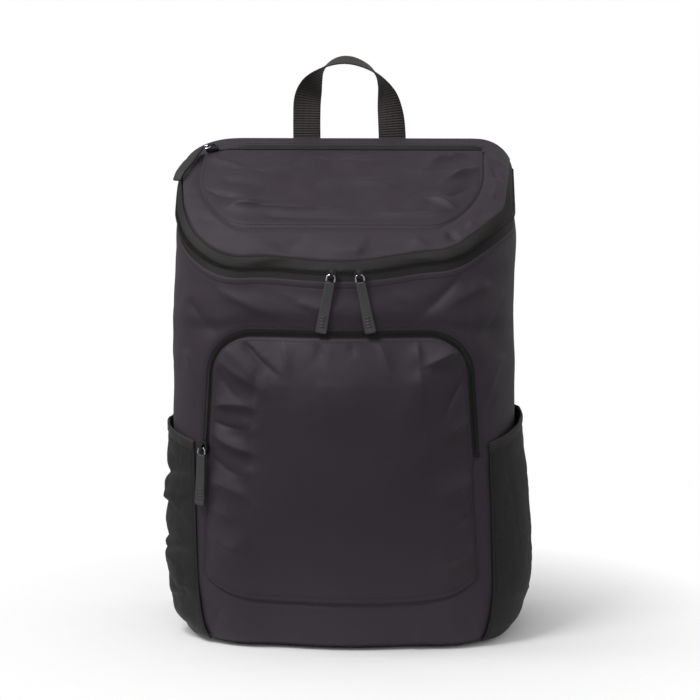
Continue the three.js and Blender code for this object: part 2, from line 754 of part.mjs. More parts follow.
// Zip pulls. In each one's own frame x runs across, y up along the pull and z out from the bag.
function asManifold(geometry) {
  const bare = geometry.clone();
  bare.deleteAttribute('normal');
  bare.deleteAttribute('uv');
  const merged = mergeVertices(bare, 1e-4);
  return new wasm.Manifold(new wasm.Mesh({
    numProp: 3,
    vertProperties: merged.attributes.position.array,
    triVerts: new Uint32Array(merged.index.array),
  }));
}

function asGeometry(solid) {
  const { vertProperties, triVerts } = solid.getMesh();
  const geometry = new THREE.BufferGeometry();
  geometry.setAttribute('position', new THREE.BufferAttribute(vertProperties, 3));
  geometry.setIndex(new THREE.BufferAttribute(triVerts, 1));
  geometry.computeVertexNormals();
  return geometry;
}

const shapeOf = (points) => new THREE.Shape(points.map(([x, y]) => flat(x, y)));

function sliderGeometry() {
  const { width, length, thickness, crown } = slider;
  const plan = shapeOf([
    [-width / 2, -1],
    [-width / 3, -length / 2],
    [width / 3, -length / 2],
    [width / 2, -1],
    [width / 2, length / 2 - 1],
    [width / 3, length / 2],
    [-width / 3, length / 2],
    [-width / 2, length / 2 - 1],
  ]);
  const body = new THREE.ExtrudeGeometry(plan, { depth: thickness, bevelEnabled: false });
  const arch = shapeOf([[-4, 2.5], [4, 2.5], [4, 3.6], [2.6, crown], [-2.6, crown], [-4, 3.6]]);
  const eye = [[-1.7, 3.2], [-1.7, 5], [1.7, 5], [1.7, 3.2]];
  arch.holes.push(new THREE.Path(eye.map(([x, y]) => flat(x, y))));
  const bridge = new THREE.ExtrudeGeometry(arch, { depth: 3, bevelEnabled: false });
  bridge.translate(0, 0, -1.5);
  const turned = new THREE.Matrix4().makeBasis(vec(0, 1, 0), vec(0, 0, 1), vec(1, 0, 0));
  bridge.applyMatrix4(turned);
  return asGeometry(asManifold(body).add(asManifold(bridge)));
}

function bailGeometry() {
  const { half, drop, wire } = bail;
  const way = new THREE.CatmullRomCurve3([
    vec(-half, -drop, 0),
    vec(-half, -drop / 2, 0),
    vec(-half * 0.7, -0.7, 0),
    vec(0, 0, 0),
    vec(half * 0.7, -0.7, 0),
    vec(half, -drop / 2, 0),
    vec(half, -drop, 0),
  ]);
  const ring = new THREE.EllipseCurve(0, 0, wire, wire).getPoints(6).slice(0, -1);
  return new THREE.ExtrudeGeometry(new THREE.Shape(ring), { steps: 12, extrudePath: way });
}

function tabGeometry() {
  const { top, bottom, length, thickness } = tab;
  const start = -bail.drop - gap;
  const plan = shapeOf([
    [-top / 2 + 1, start],
    [-top / 2, start - 1.5],
    [-bottom / 2, start - length + 1.4],
    [-bottom / 2 + 1.2, start - length],
    [bottom / 2 - 1.2, start - length],
    [bottom / 2, start - length + 1.4],
    [top / 2, start - 1.5],
    [top / 2 - 1, start],
  ]);
  const geometry = new THREE.ExtrudeGeometry(plan, { depth: thickness, bevelEnabled: false });
  return geometry.translate(0, 0, -thickness / 2);
}

function zipPull(name, place, up, out, { swing = 0, lean = 0, ownTab = true } = {}) {
  const pull = new THREE.Group();
  const across = up.clone().cross(out).normalize();
  const frame = new THREE.Matrix4().makeBasis(across, out.clone().cross(across), out);
  pull.quaternion.setFromRotationMatrix(frame);
  pull.position.copy(place);
  add(`${name}_slider`, sliderGeometry(), enamel, pull);
  const hanging = new THREE.Group();
  hanging.position.z = bail.out;
  hanging.rotation.set(lean, 0, swing);
  add(`${name}_bail`, bailGeometry(), steel, hanging);
  if (ownTab) add(`${name}_pull_tab`, tabGeometry(), rubber, hanging);
  pull.add(hanging);
  bag.add(pull);
}

const forward = vec(0, -1, 0);
const upright = vec(0, 0, 1);
for (const [name, x, swing] of [['main_left', -8, -0.18], ['main_right', 14, 0.2]]) {
  const rim = frontSkin(x, rimPoint(2.5).z - 1, mainStand.slider);
  zipPull(name, rim, upright, forward, { swing, lean: -0.02 });
}

const pocketEnd = pocketOutline(pocketZip.away);
const pocketPullZ = pocketZip.leftEnd + 7;
const pocketPullX = pocket.middle - pocketEnd.half(pocketPullZ);
const pocketSeat = frontSkin(pocketPullX, pocketPullZ, pocketStand.slider);
const pocketOut = frontSkin(pocketPullX, pocketPullZ, 1).sub(frontSkin(pocketPullX, pocketPullZ, 0));
const pocketUp = upright.clone().addScaledVector(pocketOut, -pocketOut.z).normalize();
zipPull('pocket', pocketSeat, pocketUp, pocketOut, { swing: -0.05 });

// The lid pocket's pull lies over the left shoulder of the lid
const lidPullX = -114;
const lidSeat = lidSkin(lidPullX, lidZip.y, pocketStand.slider);
const lidOut = lidSkin(lidPullX, lidZip.y, 1).sub(lidSkin(lidPullX, lidZip.y, 0));
const lidUp = lidSkin(lidPullX + 1, lidZip.y, 0).sub(lidSkin(lidPullX - 1, lidZip.y, 0)).normalize();
zipPull('lid', lidSeat, lidUp, lidOut, { lean: 0.04, ownTab: false });
const lidTabWay = [0, 0.2, 0.4, 0.6, 0.8, 1].map((s) => {
  const x = lerp(lidPullX - bail.drop - 2.8, 7 - lidHalfWidth(lidZip.y), s ** 0.85);
  return lidSkin(x, lidZip.y - lidTabReach * s, lerp(6.4, 8, s));
});
const lidTabEnd = lidTabWay.at(-1);
lidTabWay.push(lidTabEnd.clone().add(vec(-1.6, -1.8, -3.5)), lidTabEnd.clone().add(vec(-3, -3.5, -7)));
const lidTabTurn = vec(-0.7, 0.7, 0.18);
const lidTabAcross = (k) => vec(0, 1, 0).lerp(lidTabTurn, Math.min(k / 3, 1));
const lidTabBand = bandSections(lidTabWay, lidTabAcross, () => slab(tab.bottom - 0.6, tab.thickness));
add('lid_pull_tab', loft(lidTabBand), rubber);

// The left shoulder is drawn out
bag.updateMatrixWorld(true);
bag.traverse((mesh) => {
  if (!mesh.isMesh) return;
  mesh.geometry = mesh.geometry.clone();
  const place = mesh.geometry.getAttribute('position');
  const back = mesh.matrixWorld.clone().invert();
  for (let k = 0; k < place.count; k += 1) {
    const point = vec(0, 0, 0).fromBufferAttribute(place, k).applyMatrix4(mesh.matrixWorld);
    const aside = THREE.MathUtils.smoothstep(-point.x, leftShoulder.inner, leftShoulder.outer);
    const up = THREE.MathUtils.smoothstep(point.z, leftShoulder.low, leftShoulder.high);
    point.x -= leftShoulder.out * aside * up;
    place.setXYZ(k, ...point.applyMatrix4(back));
  }
});

// The origin lies under the middle of the whole pack
const box = new THREE.Box3().setFromObject(bag);
const centre = box.getCenter(vec(0, 0, 0));
bag.position.set(-centre.x, -centre.y, -box.min.z);

const backpack = new THREE.Group();
backpack.name = 'cooler_backpack';
backpack.add(bag);

export default backpack;
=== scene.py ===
import math

import bmesh
import bpy
import numpy as np
from mathutils import Matrix, Vector


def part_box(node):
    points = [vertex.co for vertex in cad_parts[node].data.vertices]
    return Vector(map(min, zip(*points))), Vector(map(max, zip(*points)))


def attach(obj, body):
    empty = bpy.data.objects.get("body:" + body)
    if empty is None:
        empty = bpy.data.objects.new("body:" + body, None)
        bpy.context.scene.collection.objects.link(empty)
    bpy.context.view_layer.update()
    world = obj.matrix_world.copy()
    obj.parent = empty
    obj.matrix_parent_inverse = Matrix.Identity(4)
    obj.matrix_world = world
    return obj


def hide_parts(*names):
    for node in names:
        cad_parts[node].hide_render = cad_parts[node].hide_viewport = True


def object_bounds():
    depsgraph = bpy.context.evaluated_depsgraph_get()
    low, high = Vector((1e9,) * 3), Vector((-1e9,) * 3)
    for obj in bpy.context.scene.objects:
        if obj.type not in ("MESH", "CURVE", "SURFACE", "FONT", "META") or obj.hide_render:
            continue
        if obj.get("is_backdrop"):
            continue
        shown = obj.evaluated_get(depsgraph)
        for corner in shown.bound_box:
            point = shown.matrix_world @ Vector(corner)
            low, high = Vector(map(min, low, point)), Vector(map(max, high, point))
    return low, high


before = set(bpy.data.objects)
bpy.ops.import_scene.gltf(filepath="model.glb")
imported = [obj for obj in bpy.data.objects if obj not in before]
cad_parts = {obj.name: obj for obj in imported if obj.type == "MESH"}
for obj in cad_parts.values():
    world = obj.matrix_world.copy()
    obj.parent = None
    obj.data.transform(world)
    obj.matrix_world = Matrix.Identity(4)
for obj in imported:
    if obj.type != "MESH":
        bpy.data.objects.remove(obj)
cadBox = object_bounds()
print("frame loaded")


# tables with named columns, read with a smooth curve through their rows
def tableOf(names, *rows):
    return {name: np.array([row[k] for row in rows], float) for k, name in enumerate(names.split())}


def readTable(table, key, value):
    knots = table[key]
    value = np.asarray(value, float)
    i = np.searchsorted(knots[1:-1], value, side="left")
    step = knots[i + 1] - knots[i]
    t = np.clip((value - knots[i]) / step, 0, 1)
    before, after = np.maximum(i - 1, 0), np.minimum(i + 2, len(knots) - 1)
    made = {}
    for name, column in table.items():
        a, b = column[i], column[i + 1]
        bendA = (b - column[before]) / (knots[i + 1] - knots[before]) * step - (b - a)
        bendB = (column[after] - a) / (knots[after] - knots[i]) * step - (b - a)
        made[name] = a + (b - a) * t + t * (1 - t) * (bendA * (1 - t) - bendB * t)
    return made


# the bag's own sizes, in millimetres with the body's middle at y = 0
bag = {
    "backPlane": 88, "wallRear": 77.6, "lidRear": 75, "wallBottom": 2, "rimLevel": 350,
    "frontBow": 8, "shoulderLeft": 46, "shoulderRight": 31, "lidThickness": 6, "flare": 9, "pullX": -8,
}
# lengths along the wall to the ends of the side, corner, front, corner and side
wallLengths = (0, 105, 207, 366, 468, 573)
# the left shoulder stands out further than the right one
leftShoulder = {"out": 6, "inner": 40, "outer": 141, "low": 352, "high": 392}
# the front of the zipped rim hangs lower on the left and stands higher on the right
rimSkew = {"height": 6, "reach": 112, "front": -65, "rear": -25}
bodySections = tableOf(
    "z half front radius lean",
    (2, 128, 80, 54, 2.5), (7, 135, 87, 60, 2.5), (18, 141, 90, 64, 2.5), (45, 145, 92, 65, 2.5),
    (100, 145.5, 93, 65, 1), (180, 144.5, 92.5, 65, -1), (260, 144.3, 92.5, 64, -1.2),
    (330, 142.5, 86.5, 65, -0.5), (400, 137, 84.5, 66, 0),
)
lidSections = tableOf(
    "y rim crown",
    (-97, 317, 318), (-91, 319, 323), (-84, 324, 331), (-72, 335, 345),
    (-54, 347, 359), (-24, 361, 375), (25, 377, 398), (78, 389, 418),
)
sliderBox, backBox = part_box("main_left_slider"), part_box("back_panel")
bagShift = np.array([
    (sliderBox[0].x + sliderBox[1].x) * 500 - bag["pullX"],
    backBox[1].y * 1000 - bag["backPlane"],
    0,
])


def mix(a, b, t):
    return a + (b - a) * t


def ease(value, low, high):
    t = np.clip((value - low) / (high - low), 0, 1)
    return t * t * (3 - 2 * t)


# rises between the first two values and falls between the last two
def band(value, low, high, fallLow, fallHigh):
    return ease(value, low, high) * (1 - ease(value, fallLow, fallHigh))


# bag millimetres to the part's metres
def toPart(points):
    points = np.array(points, float)
    aside = ease(-points[..., 0], leftShoulder["inner"], leftShoulder["outer"])
    up = ease(points[..., 2], leftShoulder["low"], leftShoulder["high"])
    points[..., 0] -= leftShoulder["out"] * aside * up
    return (points + bagShift) / 1000


def unit(vectors):
    return vectors / np.maximum(np.linalg.norm(vectors, axis=-1, keepdims=True), 1e-9)


def joined(*parts):
    return np.stack(np.broadcast_arrays(*parts), -1).astype(float)


# soft noise on a lattice, the same on every run
def ripple(a, b, seed):
    lattice = np.random.RandomState(seed).uniform(-1, 1, (64, 64))
    i, j = np.floor(a).astype(int), np.floor(b).astype(int)
    s, t = a - i, b - j
    s, t = s * s * (3 - 2 * s), t * t * (3 - 2 * t)
    pick = lambda m, n: lattice[(i + m) % 64, (j + n) % 64]
    return mix(mix(pick(0, 0), pick(1, 0), s), mix(pick(0, 1), pick(1, 1), s), t)


# sharp-edged crumples, the same on every run
def crumple(a, b, seed):
    bent = a + 0.4 * ripple(a * 1.7, b * 1.7, seed + 1)
    return np.abs(ripple(bent, b, seed)) - 0.3


# swell from rows of noise, height, length along a, length along b and seed
def swellOf(rows, a, b):
    return sum(height * noise(a / longA, b / longB, seed) for noise, height, longA, longB, seed in rows)


def foldTable(*rows):
    return tableOf("a0 b0 a1 b1 width depth lean bow", *rows)


# folds from a table: each runs from one point to another in a slight bow, spreads and dies away;
# lean makes one flank steeper than the other
def folds(table, a, b):
    lift = np.zeros(np.broadcast(a, b).shape)
    for k in range(len(table["a0"])):
        row = {name: column[k] for name, column in table.items()}
        runA, runB = row["a1"] - row["a0"], row["b1"] - row["b0"]
        length = math.hypot(runA, runB)
        along = ((a - row["a0"]) * runA + (b - row["b0"]) * runB) / length ** 2
        across = ((a - row["a0"]) * runB - (b - row["b0"]) * runA) / length
        inside = np.clip(along, 0, 1)
        across = across - row["bow"] * np.sin(np.pi * inside)
        wide = row["width"] * mix(0.55, 1, inside) * (1 + row["lean"] * np.sign(across))
        fade = band(along, -0.1, 0.12, 0.55, 1.2)
        lift = lift + row["depth"] * fade * np.exp(-np.abs(across / wide) ** 1.25)
    return lift


# the outer wall: u runs 0-1 left side, 1-2 left corner, 2-3 front, 3-4 right corner, 4-5 right side
def sectionAt(z):
    return readTable(bodySections, "z", z)


def planPoint(u, section):
    half, front, radius, lean = (section[name] for name in ("half", "front", "radius", "lean"))
    side = np.where(u < 2.5, -1, 1)
    w = np.where(u < 2.5, u, 5 - u)
    turn = (np.clip(w, 1, 2) - 1) * np.pi / 2
    share = 5 - 2 * w
    bow = bag["frontBow"] * np.cos(np.pi / 2 * np.clip(share, -1, 1)) ** 2
    cornerX, cornerY = half - radius + radius * np.cos(turn), radius - front - radius * np.sin(turn)
    sideY = mix(bag["wallRear"], radius - front, w)
    x = np.select([w <= 1, w <= 2], [half + 0 * w, cornerX], (half - radius) * share)
    y = np.select([w <= 1, w <= 2], [sideY, cornerY], -front - bow)
    return lean + side * x, y


def wallPoint(u, z):
    x, y = planPoint(u, sectionAt(z))
    return joined(x, y, z)


def frontDepth(x, z):
    s = sectionAt(z)
    off, flatHalf = x - s["lean"], s["half"] - s["radius"]
    past = np.clip(np.abs(off) - flatHalf, 0, s["radius"])
    corner = s["radius"] - s["front"] - np.sqrt(s["radius"] ** 2 - past ** 2)
    bow = -s["front"] - bag["frontBow"] * np.cos(np.pi / 2 * np.clip(off / flatHalf, -1, 1)) ** 2
    return np.where(past > 0, corner, bow)


def frontSkin(x, z, lift):
    slopeX = frontDepth(x + 0.5, z) - frontDepth(x - 0.5, z)
    slopeZ = frontDepth(x, z + 0.5) - frontDepth(x, z - 0.5)
    normal = unit(joined(slopeX, -1.0, slopeZ))
    return joined(x, frontDepth(x, z), z) + normal * np.asarray(lift)[..., None]


# the lid
def lidHalfWidth(y):
    s = sectionAt(bag["rimLevel"])
    past = s["radius"] - s["front"] - y
    flatHalf = s["half"] - s["radius"]
    corner = flatHalf + np.sqrt(np.maximum(s["radius"] ** 2 - np.clip(past, 0, s["radius"]) ** 2, 0))
    share = np.sqrt(np.clip((past - s["radius"]) / bag["frontBow"], 0, 1))
    front = flatHalf * 2 / np.pi * np.arccos(share)
    return np.select([past <= 0, past <= s["radius"]], [s["half"], corner], front)


def skewAt(x, y):
    aside = np.sign(x) * np.clip(np.abs(x) / rimSkew["reach"], 0, 1) ** 2
    return rimSkew["height"] * aside * (1 - ease(y, rimSkew["front"], rimSkew["rear"]))


def lidHeight(x, y):
    row = readTable(lidSections, "y", y)
    shoulder = np.where(x < 0, bag["shoulderLeft"], bag["shoulderRight"])
    inside = np.clip((lidHalfWidth(y) - np.abs(x)) / shoulder, 0, 1)
    domed = (row["crown"] - row["rim"]) * np.sqrt(1 - (1 - inside) ** 2)
    return row["rim"] + domed + skewAt(x, y) * (1 - inside)


def lidSkin(x, y, lift):
    nearX, nearY = x * 0.99, np.maximum(y, -94)
    slopeX = lidHeight(nearX + 0.7, nearY) - lidHeight(nearX - 0.7, nearY)
    slopeY = lidHeight(nearX, nearY + 0.7) - lidHeight(nearX, nearY - 0.7)
    normal = unit(joined(-slopeX, -slopeY, 1.4))
    return joined(x, y, lidHeight(x, y)) + normal * np.asarray(lift)[..., None]


def rimPlan(u):
    return joined(*planPoint(u, sectionAt(bag["rimLevel"])))


def rimPoint(u):
    x, y = np.moveaxis(rimPlan(u), -1, 0)
    return joined(x, y, readTable(lidSections, "y", y)["rim"] + skewAt(x, y))


def wallTop(u):
    rim = rimPoint(u)
    under = lidSkin(rim[..., 0], rim[..., 1], -bag["lidThickness"] + 0 * u)
    return np.minimum(rim[..., 2], under[..., 2]) - 2


# the wall, drawn out to the rim over its last few millimetres
def flaredWall(u, z):
    rim = rimPoint(u)
    near = np.clip(1 + (z - rim[..., 2]) / bag["flare"], 0, 1)[..., None]
    return wallPoint(u, z) + (rim - wallPoint(u, rim[..., 2])) * near


# the bag beside the rim: down the wall below 0, up the lid above 0
def rimBand(u, w):
    rim = rimPoint(u)
    run = unit(rimPlan(np.minimum(u + 0.01, 5)) - rimPlan(np.maximum(u - 0.01, 0)))
    turns = np.linspace(0, 1.5, 60)
    inset = bag["shoulderRight"] * (1 - np.cos(turns))
    x = rim[..., 0, None] - run[..., 1, None] * inset
    y = rim[..., 1, None] + run[..., 0, None] * inset
    way = joined(x, y, lidHeight(x, y))
    gone = np.concatenate([
        np.zeros(way.shape[:-2] + (1,)),
        np.cumsum(np.linalg.norm(np.diff(way, axis=-2), axis=-1), axis=-1),
    ], -1)
    k = np.clip((gone < np.maximum(w, 0)[..., None]).sum(-1) - 1, 0, len(turns) - 2)
    take = lambda values, n: np.take_along_axis(values, n[..., None], -1)[..., 0]
    share = (np.maximum(w, 0) - take(gone, k)) / np.maximum(take(gone, k + 1) - take(gone, k), 1e-9)
    takePoint = lambda n: np.take_along_axis(way, n[..., None, None], -2)[..., 0, :]
    up = mix(takePoint(k), takePoint(k + 1), share[..., None])
    down = flaredWall(u, rim[..., 2] + np.minimum(w, 0))
    return np.where((w > 0)[..., None], up, down)


# shares along the columns and the rows of a grid
def grid(columns, rows, start=0, stop=1):
    return np.meshgrid(np.linspace(start, stop, columns + 1), np.linspace(0, 1, rows + 1))


def normalsOf(points):
    return unit(np.cross(np.gradient(points, axis=1), np.gradient(points, axis=0)))


def lifted(points, lift):
    return points + normalsOf(points) * np.asarray(lift)[..., None]


def lengthsOf(points):
    steps = np.linalg.norm(np.diff(points, axis=0), axis=-1)
    return np.concatenate([[0], np.cumsum(steps)])


def ownUv(points):
    rows, columns = points.shape[:2]
    return joined(lengthsOf(points[rows // 2])[None, :], lengthsOf(points[:, columns // 2])[:, None])


def linkMesh(name, bm, smooth=True):
    mesh = bpy.data.meshes.new(name)
    bm.to_mesh(mesh)
    bm.free()
    for face in mesh.polygons:
        face.use_smooth = smooth
    piece = bpy.data.objects.new(name, mesh)
    bpy.context.scene.collection.objects.link(piece)
    return piece


# a grid of cloth laid through the points; wrap closes it into a tube with ends
def gridMesh(points, uv=None, wrap=False):
    rows, columns = points.shape[:2]
    uv = (ownUv(points) if uv is None else uv).reshape(-1, 2) / 1000
    bm = bmesh.new()
    bmesh.ops.create_grid(bm, x_segments=columns - 1, y_segments=rows - 1, size=0.5)
    bm.verts.ensure_lookup_table()
    layer = bm.loops.layers.uv.new("cloth")
    for vert, place in zip(bm.verts, toPart(points.reshape(-1, 3))):
        vert.co = place
    bm.verts.index_update()
    for face in bm.faces:
        for loop in face.loops:
            loop[layer].uv = uv[loop.vert.index]
    if wrap:
        bmesh.ops.remove_doubles(bm, verts=bm.verts[:], dist=1e-6)
        bmesh.ops.holes_fill(bm, edges=[e for e in bm.edges if e.is_boundary], sides=0)
        bmesh.ops.recalc_face_normals(bm, faces=bm.faces[:])
    return bm


def clothPiece(name, points, thickness=None, uv=None, wrap=False):
    piece = linkMesh(name, gridMesh(points, uv, wrap))
    if thickness:
        wall = piece.modifiers.new("thickness", "SOLIDIFY")
        wall.thickness, wall.offset = thickness / 1000, -1
    return piece


# a coarse field read smoothly at more places along both of its ways
def finer(field, rows, columns):
    for count in (rows, columns):
        at = np.linspace(0, len(field) - 1, count)
        i = np.minimum(at.astype(int), len(field) - 2)
        t = (at - i).reshape(-1, *[1] * (field.ndim - 1))
        near = [field[np.clip(i + k, 0, len(field) - 1)] for k in (-1, 0, 1, 2)]
        bend = (near[2] - near[0], 2 * near[0] - 5 * near[1] + 4 * near[2] - near[3])
        bend += (3 * (near[1] - near[2]) + near[3] - near[0],)
        field = near[1] + 0.5 * t * (bend[0] + t * (bend[1] + t * bend[2]))
        field = field.swapaxes(0, 1)
    return field


# cloth simulation: the held places stay, the loose ones have more cloth than room and buckle
settling = {
    "frames": 20, "every": 5, "scale": 10, "mass": 0.3, "stiff": 15, "shear": 5, "bend": 0.5,
    "air": 1, "quality": 6,
}


def settle(points, held, loose, spare, press, cap, sink):
    every = settling["every"]
    start = points[::every, ::every]
    bm = gridMesh(start)
    bmesh.ops.scale(bm, vec=Vector((settling["scale"],) * 3), verts=bm.verts[:])
    cloth = linkMesh("settling", bm)
    groups = [cloth.vertex_groups.new(name=name) for name in ("held", "loose")]
    for group, weights in zip(groups, (held, loose)):
        for index, weight in enumerate(weights[::every, ::every].ravel()):
            group.add([index], float(weight), "REPLACE")
    sim = cloth.modifiers.new("cloth", "CLOTH")
    rules = sim.settings
    rules.quality, rules.mass, rules.air_damping = settling["quality"], settling["mass"], settling["air"]
    rules.tension_stiffness = rules.compression_stiffness = settling["stiff"]
    rules.shear_stiffness, rules.bending_stiffness = settling["shear"], settling["bend"]
    rules.vertex_group_mass, rules.vertex_group_shrink = "held", "loose"
    rules.shrink_min, rules.shrink_max = 0, -spare
    rules.use_pressure, rules.uniform_pressure_force = True, press
    rules.effector_weights.gravity = 0
    sim.collision_settings.use_collision = False
    sim.point_cache.frame_start, sim.point_cache.frame_end = 1, settling["frames"]
    for step in range(1, settling["frames"] + 1):
        bpy.context.scene.frame_set(step)
    rested = cloth.evaluated_get(bpy.context.evaluated_depsgraph_get()).data
    moved = np.empty(start.size)
    rested.vertices.foreach_get("co", moved)
    shift = moved.reshape(start.shape) * 1000 / settling["scale"] - bagShift - start
    bpy.data.objects.remove(cloth)
    bpy.context.scene.frame_set(1)
    normals = normalsOf(start)
    out = (shift * normals).sum(-1, keepdims=True)
    shift = shift + normals * (np.maximum(out, -sink) - out)
    size = np.linalg.norm(shift, axis=-1, keepdims=True)
    print("settled", round(float(size.mean()), 2), "mm mean", round(float(size.max()), 2), "mm most")
    return points + finer(shift * cap / np.maximum(size, cap), *points.shape[:2])


def dress(piece, finish, slot, *nodes):
    piece.data.materials.clear()
    piece.data.materials.append(finish.owner)
    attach(piece, "root")
    if nodes:
        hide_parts(*nodes)
    return piece


# a sweep of a round or flat section along a way; across gives its wide direction
def sweep(points, across, section):
    points = np.asarray(points, float)
    run = unit(np.gradient(points, axis=0))
    wide = unit(across - run * (across * run).sum(-1, keepdims=True))
    out = np.cross(run, wide)
    section = section if section.ndim == 3 else np.repeat(section[None], len(points), 0)
    rings = points[:, None] + wide[:, None] * section[..., :1] + out[:, None] * section[..., 1:]
    return np.concatenate([rings, rings[:, :1]], 1)


def roundSection(width, thick, corners, power=2.0):
    turn = np.linspace(0, 2 * np.pi, corners, endpoint=False)
    bend = lambda value: np.sign(value) * np.abs(value) ** (2 / power)
    return joined(bend(np.cos(turn)) * width / 2, bend(np.sin(turn)) * thick / 2)


def smoothWay(rows, count):
    rows = np.asarray(rows, float)
    knots = lengthsOf(rows)
    table = {"way": knots, **{str(k): rows[:, k] for k in range(rows.shape[1])}}
    read = readTable(table, "way", np.linspace(0, knots[-1], count))
    return np.stack([read[str(k)] for k in range(rows.shape[1])], 1)


# place, direction and outward normal at a distance along a line that lies on a surface
def readLine(line, normals, way, at, step):
    read = lambda values, gone: np.array([np.interp(gone, way, values[:, k]) for k in range(3)])
    place = read(line, at)
    ahead = read(line, at + step) - place
    run = unit(ahead) if np.linalg.norm(ahead) > 1e-6 else unit(line[-1] - line[-2])
    return place, run, unit(read(normals, at))


# the seat of a small shape with these sides
def seatOf(place, *sides):
    basis = Matrix([[*row] for row in np.stack(sides, 1) / 1000])
    return Matrix.Translation(Vector(toPart(place))) @ basis.to_4x4()


# a row of small stitches along a line
stitch = {"pitch": 3.2, "length": 2.3, "thick": 0.62, "lift": 0.12, "step": 0.6}


def stitchRow(bm, line, normals):
    way, thick = lengthsOf(line), stitch["thick"]
    for at in np.arange(stitch["pitch"] / 2, way[-1], stitch["pitch"]):
        place, run, out = readLine(line, normals, way, at, stitch["step"])
        side = np.cross(out, run)
        seat = seatOf(place + out * stitch["lift"], run * stitch["length"], side * thick, out * thick)
        bmesh.ops.create_icosphere(bm, subdivisions=1, radius=0.5, matrix=seat)


# stitches along lines of surfaces, as one piece
def stitchPiece(name, slot, *lines, rise=0):
    bm = bmesh.new()
    for points, line in lines:
        stitchRow(bm, lifted(points, rise + 0 * points[..., 0])[line], normalsOf(points)[line])
    dress(linkMesh(name, bm), threadFinish, slot)


# teeth of a zip: small blocks in two rows that mesh in the middle; shares of pitch, reach and height
tooth = {"long": 0.42, "slant": 0.25, "aside": 0.36, "lift": 0.3, "bevel": 0.1, "step": 0.5}


def zipTeeth(bm, line, normals, pitch, reach, height):
    way = lengthsOf(line)
    for n, at in enumerate(np.arange(pitch, way[-1] - pitch, pitch / 2)):
        place, run, out = readLine(line, normals, way, at, tooth["step"])
        side = np.cross(out, run) * (1 if n % 2 else -1)
        slant = unit(side + run * tooth["slant"])
        place = place + side * reach * tooth["aside"] + out * height * tooth["lift"]
        seat = seatOf(place, run * pitch * tooth["long"], slant * reach, out * height)
        bmesh.ops.create_cube(bm, size=1, matrix=seat)
    bmesh.ops.recalc_face_normals(bm, faces=bm.faces[:])
    bmesh.ops.bevel(
        bm, geom=bm.edges[:], offset=pitch * tooth["bevel"] / 1000, offset_type="OFFSET", affect="EDGES",
        segments=1, profile=0.5, material=-1,
    )


# a hard CAD piece with its triangles merged and its edges rounded
def roundedCopy(node, edge, segments=2):
    bm = bmesh.new()
    bm.from_mesh(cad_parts[node].data)
    bmesh.ops.remove_doubles(bm, verts=bm.verts[:], dist=2e-6)
    bmesh.ops.dissolve_limit(bm, angle_limit=0.02, verts=bm.verts[:], edges=bm.edges[:])
    sharp = [e for e in bm.edges if len(e.link_faces) == 2 and e.calc_face_angle(0) > 0.4]
    bmesh.ops.bevel(
        bm, geom=sharp, offset=edge / 1000, offset_type="OFFSET", affect="EDGES",
        segments=segments, profile=0.5, material=-1, clamp_overlap=True,
    )
    return bm


# socket values with Python arithmetic
class Field:
    def __init__(self, finish, socket):
        self.finish, self.socket = finish, socket

    def reckon(self, operation, first, second=0.0):
        return self.finish.node("ShaderNodeMath", {"operation": operation}, {0: first, 1: second})

    def __add__(self, other):
        return self.reckon("ADD", self, other)

    def __sub__(self, other):
        return self.reckon("SUBTRACT", self, other)

    def __rsub__(self, other):
        return self.reckon("SUBTRACT", other, self)

    def __mul__(self, other):
        return self.reckon("MULTIPLY", self, other)

    def __truediv__(self, other):
        return self.reckon("DIVIDE", self, other)

    def __pow__(self, other):
        return self.reckon("POWER", self, other)

    # the height of a wave's crests, once in each pitch
    def wave(self, pitch, shift=None):
        turned = self * (math.pi / pitch)
        turned = turned + shift if shift else turned
        return self.reckon("ABSOLUTE", self.reckon("SINE", turned))

    def least(self, other):
        return self.reckon("MINIMUM", self, other)

    def most(self, other):
        return self.reckon("MAXIMUM", self, other)

    def whole(self):
        return self.reckon("FLOOR", self)

    def rest(self, other):
        return self.reckon("FLOORED_MODULO", self, other)

    __radd__, __rmul__ = __add__, __mul__


# the node tree of a material or a world
class Finish:
    def __init__(self, owner):
        self.owner = owner
        owner.use_nodes = True
        self.tree = owner.node_tree
        self.tree.nodes.clear()

    def node(self, kind, settings=None, inputs=None, output=0):
        made = self.tree.nodes.new(kind)
        for key, value in (settings or {}).items():
            setattr(made, key, value)
        for key, value in (inputs or {}).items():
            if isinstance(value, Field):
                self.tree.links.new(value.socket, made.inputs[key])
            else:
                made.inputs[key].default_value = value
        return Field(self, made.outputs[output]) if made.outputs else None

    def close(self, inputs):
        shader = self.node("ShaderNodeBsdfPrincipled", {}, inputs)
        self.node("ShaderNodeOutputMaterial", {"is_active_output": True}, {"Surface": shader})
        return self

    def uv(self):
        place = self.node("ShaderNodeUVMap", {"uv_map": "cloth"})
        return [self.node("ShaderNodeSeparateXYZ", {}, {0: place}, k) for k in (0, 1)]

    def spot(self, scale, detail=2.0, rough=0.5, stretch=(1, 1, 1)):
        place = self.node("ShaderNodeTexCoord", {}, {}, "Object")
        place = self.node("ShaderNodeMapping", {}, {"Vector": place, "Scale": stretch})
        return self.node(
            "ShaderNodeTexNoise", {"noise_dimensions": "3D"},
            {"Vector": place, "Scale": scale, "Detail": detail, "Roughness": rough}, "Fac",
        )

    # sockets 6, 7 and 2 of the mix node are its colours
    def blend(self, share, first, second):
        return self.node("ShaderNodeMix", {"data_type": "RGBA"}, {0: share, 6: (*first, 1), 7: (*second, 1)}, 2)

    def bump(self, height, distance):
        return self.node("ShaderNodeBump", {}, {"Height": height, "Distance": distance}, "Normal")


